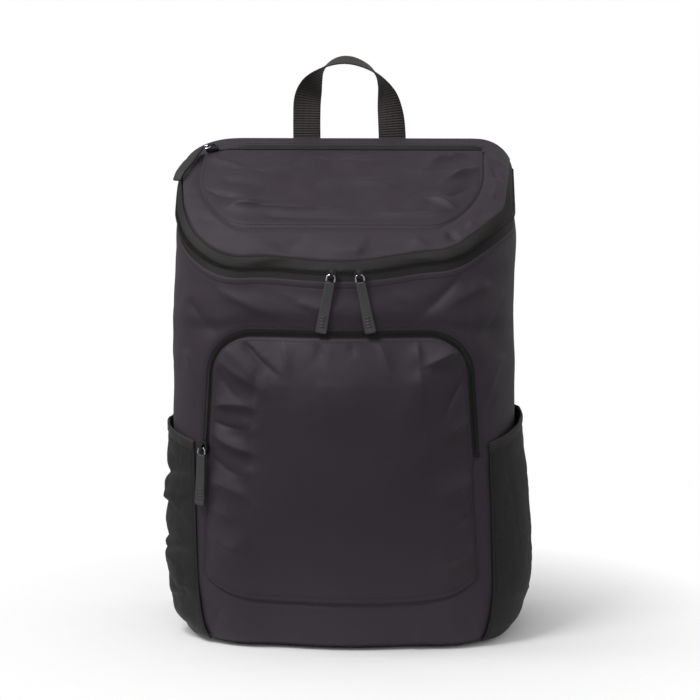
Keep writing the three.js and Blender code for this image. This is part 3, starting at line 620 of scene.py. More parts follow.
# finishes: colours are linear
finishes = {
    "cloth": {
        "dark": (0.0262, 0.0184, 0.0276), "light": (0.0369, 0.0262, 0.0387), "rough": 0.57, "sheen": 0.04,
    },
    "panel": {
        "dark": (0.0230, 0.0160, 0.0242), "light": (0.0325, 0.0228, 0.0342), "rough": 0.54, "sheen": 0.04,
    },
    "weave": {
        "pitch": 0.0008, "height": 0.00010, "cloud": 22, "slub": 260, "specular": 0.38, "sheenRough": 0.45,
    },
    "mesh": {
        # the hole colour is near black: painted shade standing in for the pocket's dark inside, seen through
        # the mesh's openings
        "hole": (0.002, 0.002, 0.002), "thread": (0.0138, 0.0137, 0.0136), "pitch": 0.0020, "height": 0.00014,
        "cloud": 30, "rough": 0.44, "holeRough": 0.25, "specular": 0.40, "sheen": 0.02, "sheenRough": 0.4,
    },
    "ribs": {"cloud": 60, "rough": 0.62, "specular": 0.36, "sheenRough": 0.4, "cordShare": 0.7},
    "mottle": {"cloud": 120, "specular": 0.5},
    "tape": {
        "dark": (0.0046, 0.0035, 0.0032), "light": (0.0084, 0.0065, 0.0058), "pitch": 0.0012, "sheen": 0.0,
    },
    "coil": {"dark": (0.006, 0.0057, 0.0051), "light": (0.014, 0.0134, 0.0121)},
    "webbing": {
        "dark": (0.019, 0.0155, 0.0145), "light": (0.044, 0.0362, 0.0340), "pitch": 0.0022, "sheen": 0.1,
    },
    "binding": {
        "dark": (0.012, 0.0112, 0.0106), "light": (0.026, 0.0243, 0.0232), "pitch": 0.0022, "sheen": 0.06,
    },
    "thread": {"dark": (0.020, 0.015, 0.021), "light": (0.034, 0.026, 0.035)},
    "rubber": {"dark": (0.042, 0.042, 0.044), "light": (0.060, 0.060, 0.062)},
    "lidRubber": {"dark": (0.022, 0.021, 0.021), "light": (0.031, 0.030, 0.030)},
    "plastic": {"dark": (0.012, 0.012, 0.013), "light": (0.018, 0.018, 0.019)},
    "enamel": {"dark": (0.008, 0.008, 0.008), "light": (0.014, 0.014, 0.014)},
    "metal": {"dark": (0.55, 0.56, 0.58), "light": (0.80, 0.81, 0.83)},
}


def wovenFinish(name, sizes):
    made = Finish(bpy.data.materials.new(name))
    u, v = made.uv()
    weave, pitch = finishes["weave"], finishes["weave"]["pitch"]
    warp, weft = u.wave(pitch), v.wave(pitch)
    check = ((u / pitch).whole() + (v / pitch).whole()).rest(2.0)
    thread = warp * check + weft * (1 - check)
    cloud = made.spot(weave["cloud"], 3)
    slub = made.spot(weave["slub"], 2, 0.6, (1, 1, 3))
    tone = cloud * 0.55 + slub * 0.25 + thread * 0.2
    grain = thread * 0.7 + slub * 0.8
    rough = sizes["rough"] + (cloud - 0.5) * 0.16
    return made.close({
        "Base Color": made.blend(tone, sizes["dark"], sizes["light"]), "Roughness": rough,
        "Specular IOR Level": weave["specular"], "Sheen Weight": sizes["sheen"],
        "Sheen Roughness": weave["sheenRough"], "Normal": made.bump(grain, weave["height"]),
    })


def meshFinish(name):
    sizes = finishes["mesh"]
    made = Finish(bpy.data.materials.new(name))
    u, v = made.uv()
    pitch = sizes["pitch"]
    row = (v / (pitch * 0.5)).whole()
    across = ((u / pitch + row.rest(2.0) * 0.5).rest(1.0) - 0.5) * 2
    down = ((v / (pitch * 0.5)).rest(1.0) - 0.5) * 2
    hole = 1 - ((across * across + down * down * 0.8) ** 0.5).least(1.0)
    clear = (hole * 3).least(1.0)
    cloud = made.spot(sizes["cloud"], 3)
    return made.close({
        # the openings take the near-black hole colour, painted shade in place of the pocket's inside; the
        # threads keep their own tone
        "Base Color": made.blend(1 - clear * 0.85 + (cloud - 0.5) * 0.3, sizes["hole"], sizes["thread"]),
        "Roughness": sizes["rough"] + clear * sizes["holeRough"], "Specular IOR Level": sizes["specular"],
        "Sheen Weight": sizes["sheen"], "Sheen Roughness": sizes["sheenRough"],
        "Normal": made.bump(1 - clear, sizes["height"]),
    })


def ribbedFinish(name, sizes, across=0.35, height=0.00025):
    made = Finish(bpy.data.materials.new(name))
    u, v = made.uv()
    ribs = finishes["ribs"]
    rib = v.wave(sizes["pitch"])
    cord = u.wave(sizes["pitch"] * ribs["cordShare"], rib * 0.5)
    cloud = made.spot(ribs["cloud"], 3)
    grain = rib * (1 - across) + cord * across
    return made.close({
        "Base Color": made.blend(grain * 0.7 + cloud * 0.3, sizes["dark"], sizes["light"]),
        "Roughness": ribs["rough"] + (cloud - 0.5) * 0.2, "Specular IOR Level": ribs["specular"],
        "Sheen Weight": sizes["sheen"], "Sheen Roughness": ribs["sheenRough"],
        "Normal": made.bump(grain, height),
    })


def mottledFinish(name, sizes, rough, metal=0.0, grainScale=900, grainHeight=0.00004):
    made = Finish(bpy.data.materials.new(name))
    mottle = finishes["mottle"]
    cloud, grain = made.spot(mottle["cloud"], 3), made.spot(grainScale, 2, 0.6)
    return made.close({
        "Base Color": made.blend(cloud * 0.7 + grain * 0.3, sizes["dark"], sizes["light"]),
        "Roughness": rough + (cloud - 0.5) * 0.2, "Metallic": metal,
        "Specular IOR Level": mottle["specular"], "Normal": made.bump(grain, grainHeight),
    })


clothFinish = wovenFinish("charcoal cloth", finishes["cloth"])
panelFinish = wovenFinish("charcoal panel cloth", finishes["panel"])
sideMesh = meshFinish("side mesh")
tapeFinish = ribbedFinish("zip tape", finishes["tape"], 0.6, 0.0001)
coilFinish = mottledFinish("zip coil", finishes["coil"], 0.42)
webbingFinish = ribbedFinish("ribbed webbing", finishes["webbing"], 0.2, 0.00045)
bindingFinish = ribbedFinish("elastic binding", finishes["binding"], 0.4, 0.0003)
threadFinish = mottledFinish("sewing thread", finishes["thread"], 0.6)
rubberFinish = mottledFinish("pull rubber", finishes["rubber"], 0.5)
lidRubberFinish = mottledFinish("lid pull rubber", finishes["lidRubber"], 0.7)
plasticFinish = mottledFinish("buckle plastic", finishes["plastic"], 0.4)
enamelFinish = mottledFinish("black slider enamel", finishes["enamel"], 0.34)
metalFinish = mottledFinish("bright zip metal", finishes["metal"], 0.22, 1.0, 1500, 0.00001)
print("finishes made")


# body wall: soft creases under the zip and beside the pocket, and a slight swell
bodyCloth = {
    "columns": 280, "rows": 165, "thickness": 3, "seamRaise": 1.3, "rimRaise": 1.3,
    "shoulderLeft": 0.8, "shoulderRight": 1, "frontShare": 0.55, "crease": 0.85, "overPocket": 2.4, "lap": 0.8,
    "front": (1.1, 1.5, 3.5, 3.9), "overPocketZ": (268, 280, 282, 312), "rimUnder": (4, 9, 12, 50),
    "lapX": (103.6, 105.8, 112, 124), "lapZ": (240, 250, 306, 316), "sewnAway": 0.8, "zipAway": 8.6,
    "seamRun": (0, 1.6, 3, 26), "stillAway": (9, 26), "lowFade": (2, 30), "rimFade": (8, 24),
    "leftSide": (0.7, 1.3), "rightSide": (3.7, 4.3),
    "swell": ((ripple, 1.5, 1 / 1.7, 55, 3), (ripple, 0.7, 1 / 4.1, 24, 5), (crumple, 1.1, 1 / 3.3, 30, 61)),
    "folds": foldTable(
        (-102, 304, -54, 282, 9, 3.0, -0.5, 2), (-72, 309, -30, 292, 8, 1.8, -0.4, -2),
        (98, 317, 62, 280, 6, -3.0, 0.3, -2), (120, 306, 84, 288, 8, 2.4, 0.4, 2),
        (40, 306, 66, 288, 8, 1.6, -0.4, 2), (-34, 293, -4, 286, 6, 1.5, -0.4, 1),
        (-126, 292, -100, 262, 7, -2.4, 0.3, 2), (132, 292, 112, 262, 7, -2.2, -0.3, -2),
        (-130, 250, -112, 216, 7, 2.0, 0.4, 2), (134, 246, 118, 210, 7, 2.2, 0.4, 2),
        (126, 214, 112, 178, 6, -1.8, 0.4, 1), (-122, 210, -116, 180, 6, -1.6, -0.4, 1),
        (96, 46, 110, 14, 5, -2.0, 0.4, 1), (104, 70, 116, 30, 5, 1.6, -0.4, 1),
        (-96, 42, -112, 14, 5, -1.8, -0.4, 1), (60, 8, 66, 26, 6, 2.2, 0.3, 1),
        (-40, 10, -20, 26, 8, 1.0, 0.4, 1), (-84, 30, -60, 14, 6, 1.2, 0.4, 1),
    ),
}


def wallRun(s):
    return np.interp(s * wallLengths[-1], wallLengths, range(len(wallLengths)))


def wallSwell(u, z, x):
    size = bodyCloth
    atFront = band(u, *size["front"])
    swell = swellOf(size["swell"], u, z) * mix(1, size["frontShare"], atFront)
    creased = size["crease"] * folds(size["folds"], x, z) + size["overPocket"] * band(z, *size["overPocketZ"])
    lapped = size["lap"] * band(x, *size["lapX"]) * band(z, *size["lapZ"])
    away = pocketAway(x, z)
    still = mix(1, ease(away, *size["stillAway"]), atFront)
    edge = mix(size["sewnAway"], size["zipAway"], besideZip(z))
    raised = size["seamRaise"] * band(away - edge, *size["seamRun"])
    return (swell * ease(z, *size["lowFade"]) + creased * atFront) * still + (raised + lapped) * atFront


def bodyWall():
    size = bodyCloth
    s, v = grid(size["columns"], size["rows"])
    u = wallRun(s)
    base = flaredWall(u, mix(bag["wallBottom"], wallTop(u), v))
    under = wallTop(u) - base[..., 2]
    left, right = 1 - ease(u, *size["leftSide"]), ease(u, *size["rightSide"])
    full = size["shoulderLeft"] * left + size["shoulderRight"] * right
    raised = (size["rimRaise"] + full) * band(under, *size["rimUnder"])
    points = lifted(base, wallSwell(u, base[..., 2], base[..., 0]) * ease(under, *size["rimFade"]) + raised)
    piece = clothPiece("bodyCloth", points, size["thickness"])
    dress(piece, clothFinish, "cloth", "body_wall")


# a surface between four edges
def patch(bottom, top, left, right, s, t):
    a, b = s[..., None], t[..., None]
    none, whole = np.zeros_like(s), np.ones_like(s)
    low, high = mix(bottom(none), bottom(whole), a), mix(top(none), top(whole), a)
    return mix(bottom(s), top(s), b) + mix(left(t), right(t), a) - mix(low, high, b)


# an edge between two rounded corners, which take up this share at each end
def cornered(corner, half, level, share):
    def place(k):
        side, w = np.where(k < 0.5, -1, 1), np.minimum(k, 1 - k)
        bent = corner(side, mix(np.pi / 4, np.pi / 2, np.clip(w / share, 0, 1)))
        straight = joined(side * half * (0.5 - w) / (0.5 - share), level)
        return np.where((w < share)[..., None], bent, straight)
    return place


# how far a point in plan lies outside the lid pocket's seam
def seamAway(x, y):
    size = lidPocket
    acrossX = np.abs(x - size["middle"]) - (size["half"] - size["corner"])
    acrossY = (size["front"] + size["cornerLength"] - y) * size["corner"] / size["cornerLength"]
    far = np.hypot(np.maximum(acrossX, 0), np.maximum(acrossY, 0))
    return np.minimum(np.maximum(acrossX, acrossY), 0) + far - size["corner"]


# how far a point on the lid lies from the zipped rim
def rimAway(points):
    rim = rimPoint(np.linspace(0, 5, 500))
    away = [np.linalg.norm(row[:, None] - rim[None], axis=-1).min(1) for row in points]
    return np.array(away)


# lid pocket panel, sewn flush into the lid along three sides
lidPocket = {
    "half": 119.5, "middle": -3, "front": -65, "rear": 50, "corner": 46, "cornerLength": 76,
    "sideShare": 0.6, "frontShare": 0.2,
    "columns": 150, "rows": 90, "thickness": 0.8, "level": 1.8, "edgeLevel": 0.2, "puff": 2.6, "crease": 3.0,
    "seamFade": (1, 16), "rearFade": (34, 48), "puffIn": (2, 26), "puffRear": (0, 46), "seamEdge": (0, 2.6),
    "swell": ((ripple, 1.2, 34, 20, 21), (ripple, 0.6, 12, 9, 22), (crumple, 2.0, 38, 22, 65)),
    "folds": foldTable(
        (-90, -42, 10, -45, 3.4, 1.9, 0.5, 2), (100, -46, 30, -50, 3.4, 1.7, -0.5, -2),
        (-60, -54, 60, -57, 3.4, -1.4, 0.3, 1), (106, 44, 62, 10, 4.5, 1.8, -0.5, 3),
        (114, 20, 84, -6, 4, 1.7, 0.5, -2), (-114, 38, -72, 2, 4.5, 1.8, 0.5, 3),
        (114, -12, 84, -30, 5, -1.6, 0.4, 2), (-118, -12, -88, -30, 5, -1.4, 0.4, 2),
        (96, -46, 70, -30, 5, 1.6, 0.4, 1), (-100, -44, -70, -34, 6, 1.2, 0.4, 2),
        (-40, 30, 30, 22, 11, 0.9, 0.3, 3), (-20, -8, 50, -18, 10, 0.9, 0.3, -3),
    ),
}

# lid, from the zipped rim to the back panel
lidCloth = {
    "columns": 180, "rows": 130, "rowPower": 1.2, "thickness": 3, "start": 0.026, "level": 1.6, "crease": 2.2,
    "zipEdge": (9.2, 11.5), "seamEdge": (0.2, 2.6), "seamShare": 0.15,
    "rearZip": (54.6, 56), "rearZipEnd": (111, 117),
    "zipFade": (10, 22), "seamFade": (1, 12), "rearFade": (44, 50),
    "swell": ((ripple, 1.2, 46, 30, 11), (ripple, 0.7, 17, 12, 12), (crumple, 2.4, 34, 20, 63)),
    "folds": foldTable(
        (86, -68, 116, -86, 5, -2.6, 0.4, 2), (104, -60, 122, -66, 5, 1.6, 0.4, 1),
        (-94, -66, -118, -48, 6, -1.5, 0.4, 2), (60, -72, 84, -88, 6, 1.4, 0.4, 1),
        (-30, -72, -50, -88, 7, -1.1, 0.3, 1), (20, -72, 10, -90, 7, 1.0, 0.3, 1),
        (126, 6, 118, 40, 5, -1.8, 0.4, 1), (124, -24, 132, 26, 5, 1.2, -0.4, 1),
        (-128, -10, -126, 30, 5, 1.0, 0.4, 1),
    ),
}


def lidPlan(s, t):
    start = lidCloth["start"]
    return patch(
        lambda k: rimPlan(1.5 + 2 * k),
        lambda k: joined(mix(-1, 1, k) * rimPlan(np.array(5.0))[0], bag["lidRear"]),
        lambda k: rimPlan(mix(1.5, start, k)),
        lambda k: rimPlan(mix(3.5, 5 - start, k)),
        s, t,
    )


def lidPanel():
    size = lidCloth
    s, v = grid(size["columns"], size["rows"])
    plan = lidPlan((1 - np.cos(np.pi * s)) / 2, v ** size["rowPower"])
    x, y = plan[..., 0], plan[..., 1]
    away = rimAway(lidSkin(x, y, 0 * x))
    aside = seamAway(x, y)
    pastZip = size["level"] * ease(away, *size["zipEdge"])
    level = np.where(aside < -1, 0, pastZip * mix(size["seamShare"], 1, ease(aside, *size["seamEdge"])))
    closed = np.maximum(ease(y, *size["rearZip"]), ease(np.abs(x), *size["rearZipEnd"]))
    free = ease(away, *size["zipFade"]) * ease(aside, *size["seamFade"]) * (1 - ease(y, *size["rearFade"]))
    swell = swellOf(size["swell"], x, y) + size["crease"] * folds(size["folds"], x, y)
    lift = np.where(y > lidPocket["rear"], pastZip * closed, level) + swell * free
    points = lidSkin(x, y, lift)
    piece = clothPiece("lidCloth", points, size["thickness"])
    dress(piece, clothFinish, "cloth", "lid_panel")


lidPanel()
print("lid made")


def lidPocketPlan(s, t):
    half, front, rear, corner, length, share = (
        lidPocket[name] for name in ("half", "front", "rear", "corner", "cornerLength", "sideShare")
    )

    def cornerPoint(side, turn):
        return joined(side * (half - corner + corner * np.cos(turn)), front + length * (1 - np.sin(turn)))

    def edge(side):
        def place(k):
            bent = cornerPoint(side, mix(np.pi / 4, 0, np.clip(k / share, 0, 1)))
            straight = joined(side * half, mix(front + length, rear, (k - share) / (1 - share)))
            return np.where((k < share)[..., None], bent, straight)
        return place

    bottom = cornered(cornerPoint, half - corner, front, lidPocket["frontShare"])
    return patch(bottom, lambda k: joined(mix(-half, half, k), rear), edge(-1), edge(1), s, t)


def lidPocketPanel():
    size = lidPocket
    plan = lidPocketPlan(*grid(size["columns"], size["rows"]))
    x, y = plan[..., 0] + size["middle"], plan[..., 1]
    inside = -seamAway(x, y)
    free = ease(inside, *size["seamFade"]) * (1 - ease(y, *size["rearFade"]))
    puff = size["puff"] * ease(inside, *size["puffIn"]) * (1 - ease(y, *size["puffRear"]))
    level = mix(size["edgeLevel"], size["level"], ease(inside, *size["seamEdge"]))
    swell = swellOf(size["swell"], x, y) + size["crease"] * folds(size["folds"], x, y)
    points = lidSkin(x, y, level + puff + swell * free)
    piece = clothPiece("lidPocketCloth", points, size["thickness"])
    dress(piece, panelFinish, "panel_cloth", "lid_pocket_panel")
    run = slice(2, -2)
    lines = [(points, line) for line in ((3, run), (run, 3), (run, -4))]
    stitchPiece("lidPocketStitches", "panel_cloth", *lines)


lidPocketPanel()
print("lid pocket made")


# front pocket: a panel that rises from its zip to a flat middle, with creases off the zip
frontPocket = {
    "top": 262, "low": 62, "halfTop": 102, "halfLow": 113, "corner": 30, "sag": 22, "middle": -1.5,
    "cornerShare": 0.12,
    "columns": 200, "rows": 190, "thickness": 1.0, "bulge": 15, "over": 2.8, "spare": 0.07, "press": 0.3,
    "flatLeft": -62, "flatRight": 64, "flatTopLeft": 226, "flatTopRight": 231, "flatLow": 128,
    "flatTopFrom": -60, "flatTopOver": 124, "roundPower": 16.0,
    "sewnTop": 150, "zipLow": 166, "sewnEdge": -0.6, "zipEdge": 1.2, "rolledEdge": 1.7, "rollOver": 3.5,
    "crease": 1.1, "held": 4, "loose": (30, 75), "settleMost": 9, "settleSink": 4,
    "swell": ((ripple, 0.8, 30, 34, 31), (ripple, 0.3, 12, 14, 32), (crumple, 0.9, 40, 36, 67)),
    "folds": foldTable(
        (-106, 251, -60, 222, 9, 4.2, -0.45, 3), (-108, 206, -64, 206, 8, 3.8, -0.5, -3),
        (-108, 185, -64, 168, 8, 4.2, -0.5, 3), (-110, 143, -68, 125, 9, 3.4, -0.45, -3),
        (-112, 101, -72, 83, 10, 2.6, -0.4, 3), (-80, 262, -46, 233, 5, -2.8, 0.4, 2),
        (-106, 194, -74, 188, 4, -2.0, 0.3, 1), (-104, 163, -82, 149, 5, -1.8, 0.3, 1),
        (-110, 122, -88, 112, 6, 1.8, -0.4, 1), (-100, 238, -82, 214, 5, -2.0, 0.3, 2),
        (106, 261, 66, 242, 7, 4.0, 0.45, -2), (106, 238, 84, 194, 6, -2.6, 0.4, 3),
        (114, 198, 86, 181, 7, 2.4, 0.4, 2), (116, 152, 82, 132, 8, 2.6, 0.4, -2),
        (112, 86, 72, 66, 9, 2.2, 0.4, 3), (114, 118, 92, 106, 6, -1.6, 0.3, 1),
        (-18, 266, -10, 242, 6, -2.0, 0.3, 1), (28, 266, 40, 238, 6, 2.0, -0.3, -1),
        (64, 266, 66, 244, 5, 2.0, 0.3, 1), (-46, 266, -38, 236, 6, 1.8, -0.3, 1),
        (8, 266, 12, 250, 4, -1.4, 0.3, 0), (-68, 232, -72, 84, 15, -3.0, 0.25, 3),
        (65, 240, 70, 140, 10, 2.2, 0.45, -3),
    ),
}


# 0 where the pocket's sides are sewn down, 1 beside its zip
def besideZip(z):
    return ease(z, frontPocket["sewnTop"], frontPocket["zipLow"])


# distance to the nearest edge of a panel of this width and height
def inward(s, v, width, height, lowShare=1):
    return np.minimum(np.minimum(s, 1 - s) * width, np.minimum(v * lowShare, 1 - v) * height)


def pocketCorner(side, turn, grow):
    size = frontPocket
    bend = size["corner"] + grow
    x = side * (size["halfTop"] + grow - bend + bend * np.cos(turn))
    return joined(x, size["top"] - size["corner"] + bend * np.sin(turn))


def pocketHalf(z, grow):
    size = frontPocket
    start = size["top"] - size["corner"]
    return mix(size["halfLow"], size["halfTop"], (z - size["low"]) / (start - size["low"])) + grow


def pocketLow(x):
    share = np.clip(np.abs(x) / frontPocket["halfLow"], 0, 1)
    return frontPocket["low"] - frontPocket["sag"] * (1 - share ** 6)


# how far a place on the front lies outside the pocket
def pocketAway(x, z):
    size = frontPocket
    off = np.abs(x - size["middle"])
    start, bend = size["top"] - size["corner"], size["corner"]
    acrossX, acrossZ = off - (size["halfTop"] - bend), z - start
    far = np.hypot(np.maximum(acrossX, 0), np.maximum(acrossZ, 0)) - bend
    below = np.maximum(off - pocketHalf(z, 0), pocketLow(x - size["middle"]) - z)
    return np.where(z > start, far, below)


def pocketPlan(s, t, grow):
    size = frontPocket
    start, share = size["top"] - size["corner"], size["cornerShare"]
    straight = 1 - share

    def edge(side):
        def place(k):
            bent = pocketCorner(side, mix(0, np.pi / 4, np.clip((k - straight) / share, 0, 1)), grow)
            z = mix(size["low"], start, k / straight)
            return np.where((k > straight)[..., None], bent, joined(side * pocketHalf(z, grow), z))
        return place

    def bottom(k):
        x = 2 * k - 1
        return joined((size["halfLow"] + grow) * x, pocketLow(size["halfLow"] * x))

    corner = lambda side, turn: pocketCorner(side, turn, grow)
    top = cornered(corner, size["halfTop"] - size["corner"], size["top"] + grow, share)
    return patch(bottom, top, edge(-1), edge(1), s, t)


def pocketRise(x, z):
    size = frontPocket
    half = pocketHalf(z, size["over"])
    across = np.clip((x - size["flatTopFrom"]) / size["flatTopOver"], 0, 1)
    flatTop = mix(size["flatTopLeft"], size["flatTopRight"], across)
    top = size["top"] + size["over"]
    sides = [
        (x + half) / (half + size["flatLeft"]), (half - x) / (half - size["flatRight"]),
        (top - z) / (top - flatTop), (z - pocketLow(x)) / (size["flatLow"] - pocketLow(x)),
        np.ones_like(x),
    ]
    power = size["roundPower"]
    return np.sum([np.maximum(side, 0.001) ** -power for side in sides], 0) ** (-1 / power)


def frontPocketPanel():
    size = frontPocket
    s, v = grid(size["columns"], size["rows"])
    plan = pocketPlan(s, v, size["over"])
    x, z = plan[..., 0], plan[..., 1]
    edge = mix(size["sewnEdge"], size["zipEdge"], besideZip(z))
    rolled = mix(edge, size["rolledEdge"], ease(inward(s, v, 210, 200), 0, size["rollOver"]))
    swell = swellOf(size["swell"], x, z) + size["crease"] * folds(size["folds"], x, z)
    lift = rolled + size["bulge"] * pocketRise(x, z) + swell * ease(inward(s, v, 18, 18), 0, 1)
    points = frontSkin(x + size["middle"], z, lift)
    inside = inward(s, v, 215, 205, 0.6)
    points = settle(
        points, 1.0 * (inside < size["held"]), 1 - ease(inside, *size["loose"]),
        size["spare"], size["press"], size["settleMost"], size["settleSink"],
    )
    piece = clothPiece("frontPocketCloth", points, size["thickness"])
    dress(piece, panelFinish, "panel_cloth", "front_pocket_panel")
    run = slice(3, -3)
    lines = [(points, line) for line in ((2, run), (6, run), (run, 3), (run, -4), (-4, run))]
    stitchPiece("frontPocketStitches", "panel_cloth", *lines)


bodyWall()
frontPocketPanel()
print("body wall and front pocket made")


# zips: a tape on each side of two rows of fine teeth;
# tapes and the line of teeth hold their low and high edge from the zip's middle, rows and lift
mainZip = {
    "from": 0.012, "to": 0.988, "pitch": 2.0, "reach": 2.1, "height": 1.1, "columns": 420,
    "tapes": ((-9, 0.1, 7, 1.0), (0.1, 10.2, 8, 1.3)), "line": (-1.4, 1.6, 2, 1.3),
}
lidZip = {
    "half": 117, "y": 52.5, "pitch": 2.0, "reach": 1.3, "height": 1.0, "columns": 200,
    "tilt": 2.4, "tiltOff": (0.6, 4), "tiltX": (-98, -86, 104, 120),
    "tapes": ((-5, 0.05, 4, 1.0), (0.05, 5, 8, 1.0)), "line": (-1, 1, 2, 1.1),
}
pocketZip = {
    "away": 6, "end": 164, "pitch": 2.0, "reach": 1.4, "height": 1.0, "columns": 300, "side": 0.3, "bend": 0.6,
    "tapes": ((-5, 0.05, 4, 1.0), (0.05, 5, 4, 1.0)), "line": (-1, 1, 2, 1.1),
}
tapeThickness = 0.8


def rimStrip(low, high, rows, lift):
    s, v = grid(mainZip["columns"], rows, mainZip["from"], mainZip["to"])
    return lifted(rimBand(wallRun(s), mix(low, high, v)), lift + 0 * s)


# the rear side of the lid zip stands up against the hem behind it, away from the slider
def lidStrip(low, high, rows, lift):
    s, v = grid(lidZip["columns"], rows, -1, 1)
    x = lidZip["half"] * np.sin(np.pi / 2 * s)
    off = mix(low, high, v)
    tilt = lidZip["tilt"] * ease(off, *lidZip["tiltOff"]) * band(x, *lidZip["tiltX"])
    return lidSkin(x, lidZip["y"] + off, lift + tilt)


def pocketStrip(low, high, rows, lift):
    size = frontPocket
    s, v = grid(pocketZip["columns"], rows)
    grow = pocketZip["away"] + mix(low, high, v)
    side, w = np.where(s < 0.5, -1, 1), np.minimum(s, 1 - s) * 2
    first, second = pocketZip["side"], pocketZip["bend"]  # shares of the zip where its corner starts and ends
    z = mix(pocketZip["end"], size["top"] - size["corner"], np.clip(w / first, 0, 1))
    straight = joined(side * pocketHalf(z, grow), z)
    bent = pocketCorner(side, mix(0, np.pi / 2, np.clip((w - first) / (second - first), 0, 1)), grow)
    across = joined(side * (size["halfTop"] - size["corner"]) * (1 - w) / (1 - second), size["top"] + grow)
    plan = np.where((w < first)[..., None], straight, np.where((w < second)[..., None], bent, across))
    return frontSkin(plan[..., 0] + size["middle"], plan[..., 1], lift + 0 * s)


for name, strip, sizes in (
    ("main", rimStrip, mainZip), ("lid", lidStrip, lidZip), ("pocket", pocketStrip, pocketZip),
):
    for number, tape in enumerate(sizes["tapes"]):
        piece = clothPiece(f"{name}ZipTape{number}", strip(*tape), tapeThickness)
        dress(piece, tapeFinish, "zip_tape", name + "_zip_tape")
    line = strip(*sizes["line"])
    bm = bmesh.new()
    zipTeeth(bm, line[1], normalsOf(line)[1], sizes["pitch"], sizes["reach"], sizes["height"])
    dress(linkMesh(name + "ZipTeeth", bm, False), coilFinish, "zip_tape", name + "_zip_coil")


# hems: cloth edges folded under beside the zips; they rise to a rolled edge and run out into the wall
hemShape = {"roll": 0.12, "sink": 0.6}  # shares of the width


def hem(name, strip, height, edgeFirst, stitchAt, runOut=0.9):
    v = np.linspace(0, 1, len(strip))[:, None]
    t = v if edgeFirst else 1 - v
    rise = np.sqrt(np.clip(1 - (1 - np.clip(t / hemShape["roll"], 0, 1)) ** 2, 0, 1))
    folded = lifted(strip, height * rise - runOut * ease(t, hemShape["sink"], 1) + 0 * strip[..., 0])
    dress(clothPiece(name, folded, tapeThickness), clothFinish, "cloth")
    stitchPiece(name + "Stitches", "cloth", (folded, int(stitchAt * (len(folded) - 1))))


hem("wallRimHem", rimStrip(-15, -7.0, 16, 0.2), height=1.2, edgeFirst=False, stitchAt=0.55)
hem("pocketOuterHem", pocketStrip(2.2, 7, 8, 0.1), height=1.1, edgeFirst=True, stitchAt=0.5)
hem("lidRearHem", lidStrip(3.6, 12, 16, 0.1), height=1.2, edgeFirst=True, stitchAt=0.4, runOut=3.4)
print("zips made")


# mesh side pockets with an elastic binding and a cloth patch over the foot
sidePocket = {
    "rear": 0.03, "front": 1.55, "low": 6, "binding": 9, "patchTop": 40, "patchFront": 0.95,
    "columns": 90, "rows": 110, "thickness": 0.9, "length": 160, "least": 1.2,
    "slack": {"left": 1.7, "right": 0.7},
    "swell": ((crumple, 2.4, 32, 24, 71), (crumple, 0.8, 160 / 11, 11, 73)),
    "meshLift": 1.2, "stitchRise": 0.1,
    "patchColumns": 70, "patchRows": 24, "patchThickness": 1.2, "patchLift": 2.3, "patchTuck": 1.6,
    "patchSwell": ((ripple, 0.5, 16, 14, 41),), "tuckSides": 40, "tuckFoot": 14,
    "bindingRows": 10, "bindingLift": 1.3, "bindingRound": 0.9, "bindingThickness": 1.6,
}
sidePocketTop = tableOf(
    "t left right",
    (0, 168, 174), (0.25, 172, 178), (0.5, 175, 181), (0.69, 175, 180), (0.86, 170, 172), (1, 166, 166),
)
sidePocketLift = tableOf(
    "v left right", (0, 1.2, 1.2), (0.08, 4.5, 4.5), (0.3, 9.5, 11), (0.65, 7.5, 9.5), (1, 5.5, 5.5),
)
sideFolds = {
    "left": foldTable(
        (160, 150, 72, 128, 8, -3.4, 0.4, 3), (88, 120, 160, 96, 8, -3.6, 0.4, -3),
        (160, 84, 80, 66, 8, -3.4, 0.4, 3), (96, 60, 160, 40, 7, -3.0, 0.4, 2),
        (16, 140, 80, 120, 9, -2.6, 0.4, 3), (16, 70, 88, 90, 9, -2.6, 0.4, -3),
        (152, 128, 96, 112, 7, 2.6, 0.4, 3), (96, 82, 152, 66, 7, 2.6, 0.4, 2),
        (152, 52, 104, 30, 7, 2.2, 0.4, 2),
    ),
    "right": foldTable(
        (144, 170, 131.2, 60, 5, -1.2, 0.3, 2), (112, 176, 105.6, 50, 6, 1.0, 0.3, 2),
        (64, 170, 70.4, 60, 7, -1.0, 0.3, 2),
    ),
}


def rounded(strip, height):
    v = np.linspace(0, 1, len(strip))[:, None]
    return lifted(strip, height * np.sqrt(np.clip(1 - (2 * v - 1) ** 2, 0, 1)) + 0 * strip[..., 0])


def sidePoint(side, t, z, lift):
    run = mix(sidePocket["rear"], sidePocket["front"], t)
    u = run if side < 0 else 5 - run
    along = wallPoint(u + 0.01, z) - wallPoint(u - 0.01, z)
    up = wallPoint(u, z + 1) - wallPoint(u, z - 1)
    return wallPoint(u, z) + unit(np.cross(along, up)) * np.asarray(lift)[..., None]


def pocketLift(name, t, z, top):
    v = np.clip((z - sidePocket["low"]) / (top - sidePocket["low"]), 0, 1)
    across = np.sin(np.pi * np.clip(t, 0, 1)) ** 0.7
    along = t * sidePocket["length"]
    creased = folds(sideFolds[name], along, z) + swellOf(sidePocket["swell"], along, z)
    out = readTable(sidePocketLift, "v", v)[name] + creased * sidePocket["slack"][name]
    return np.maximum(sidePocket["least"], out * across)


def sideGrid(name, side, columns, rows, lift, zAt, share=1.0):
    s, v = grid(columns, rows)
    t = (s if side < 0 else 1 - s) * share
    top = readTable(sidePocketTop, "t", t)[name]
    z = zAt(v, top)
    return sidePoint(side, t, z, lift + pocketLift(name, t, z, top))


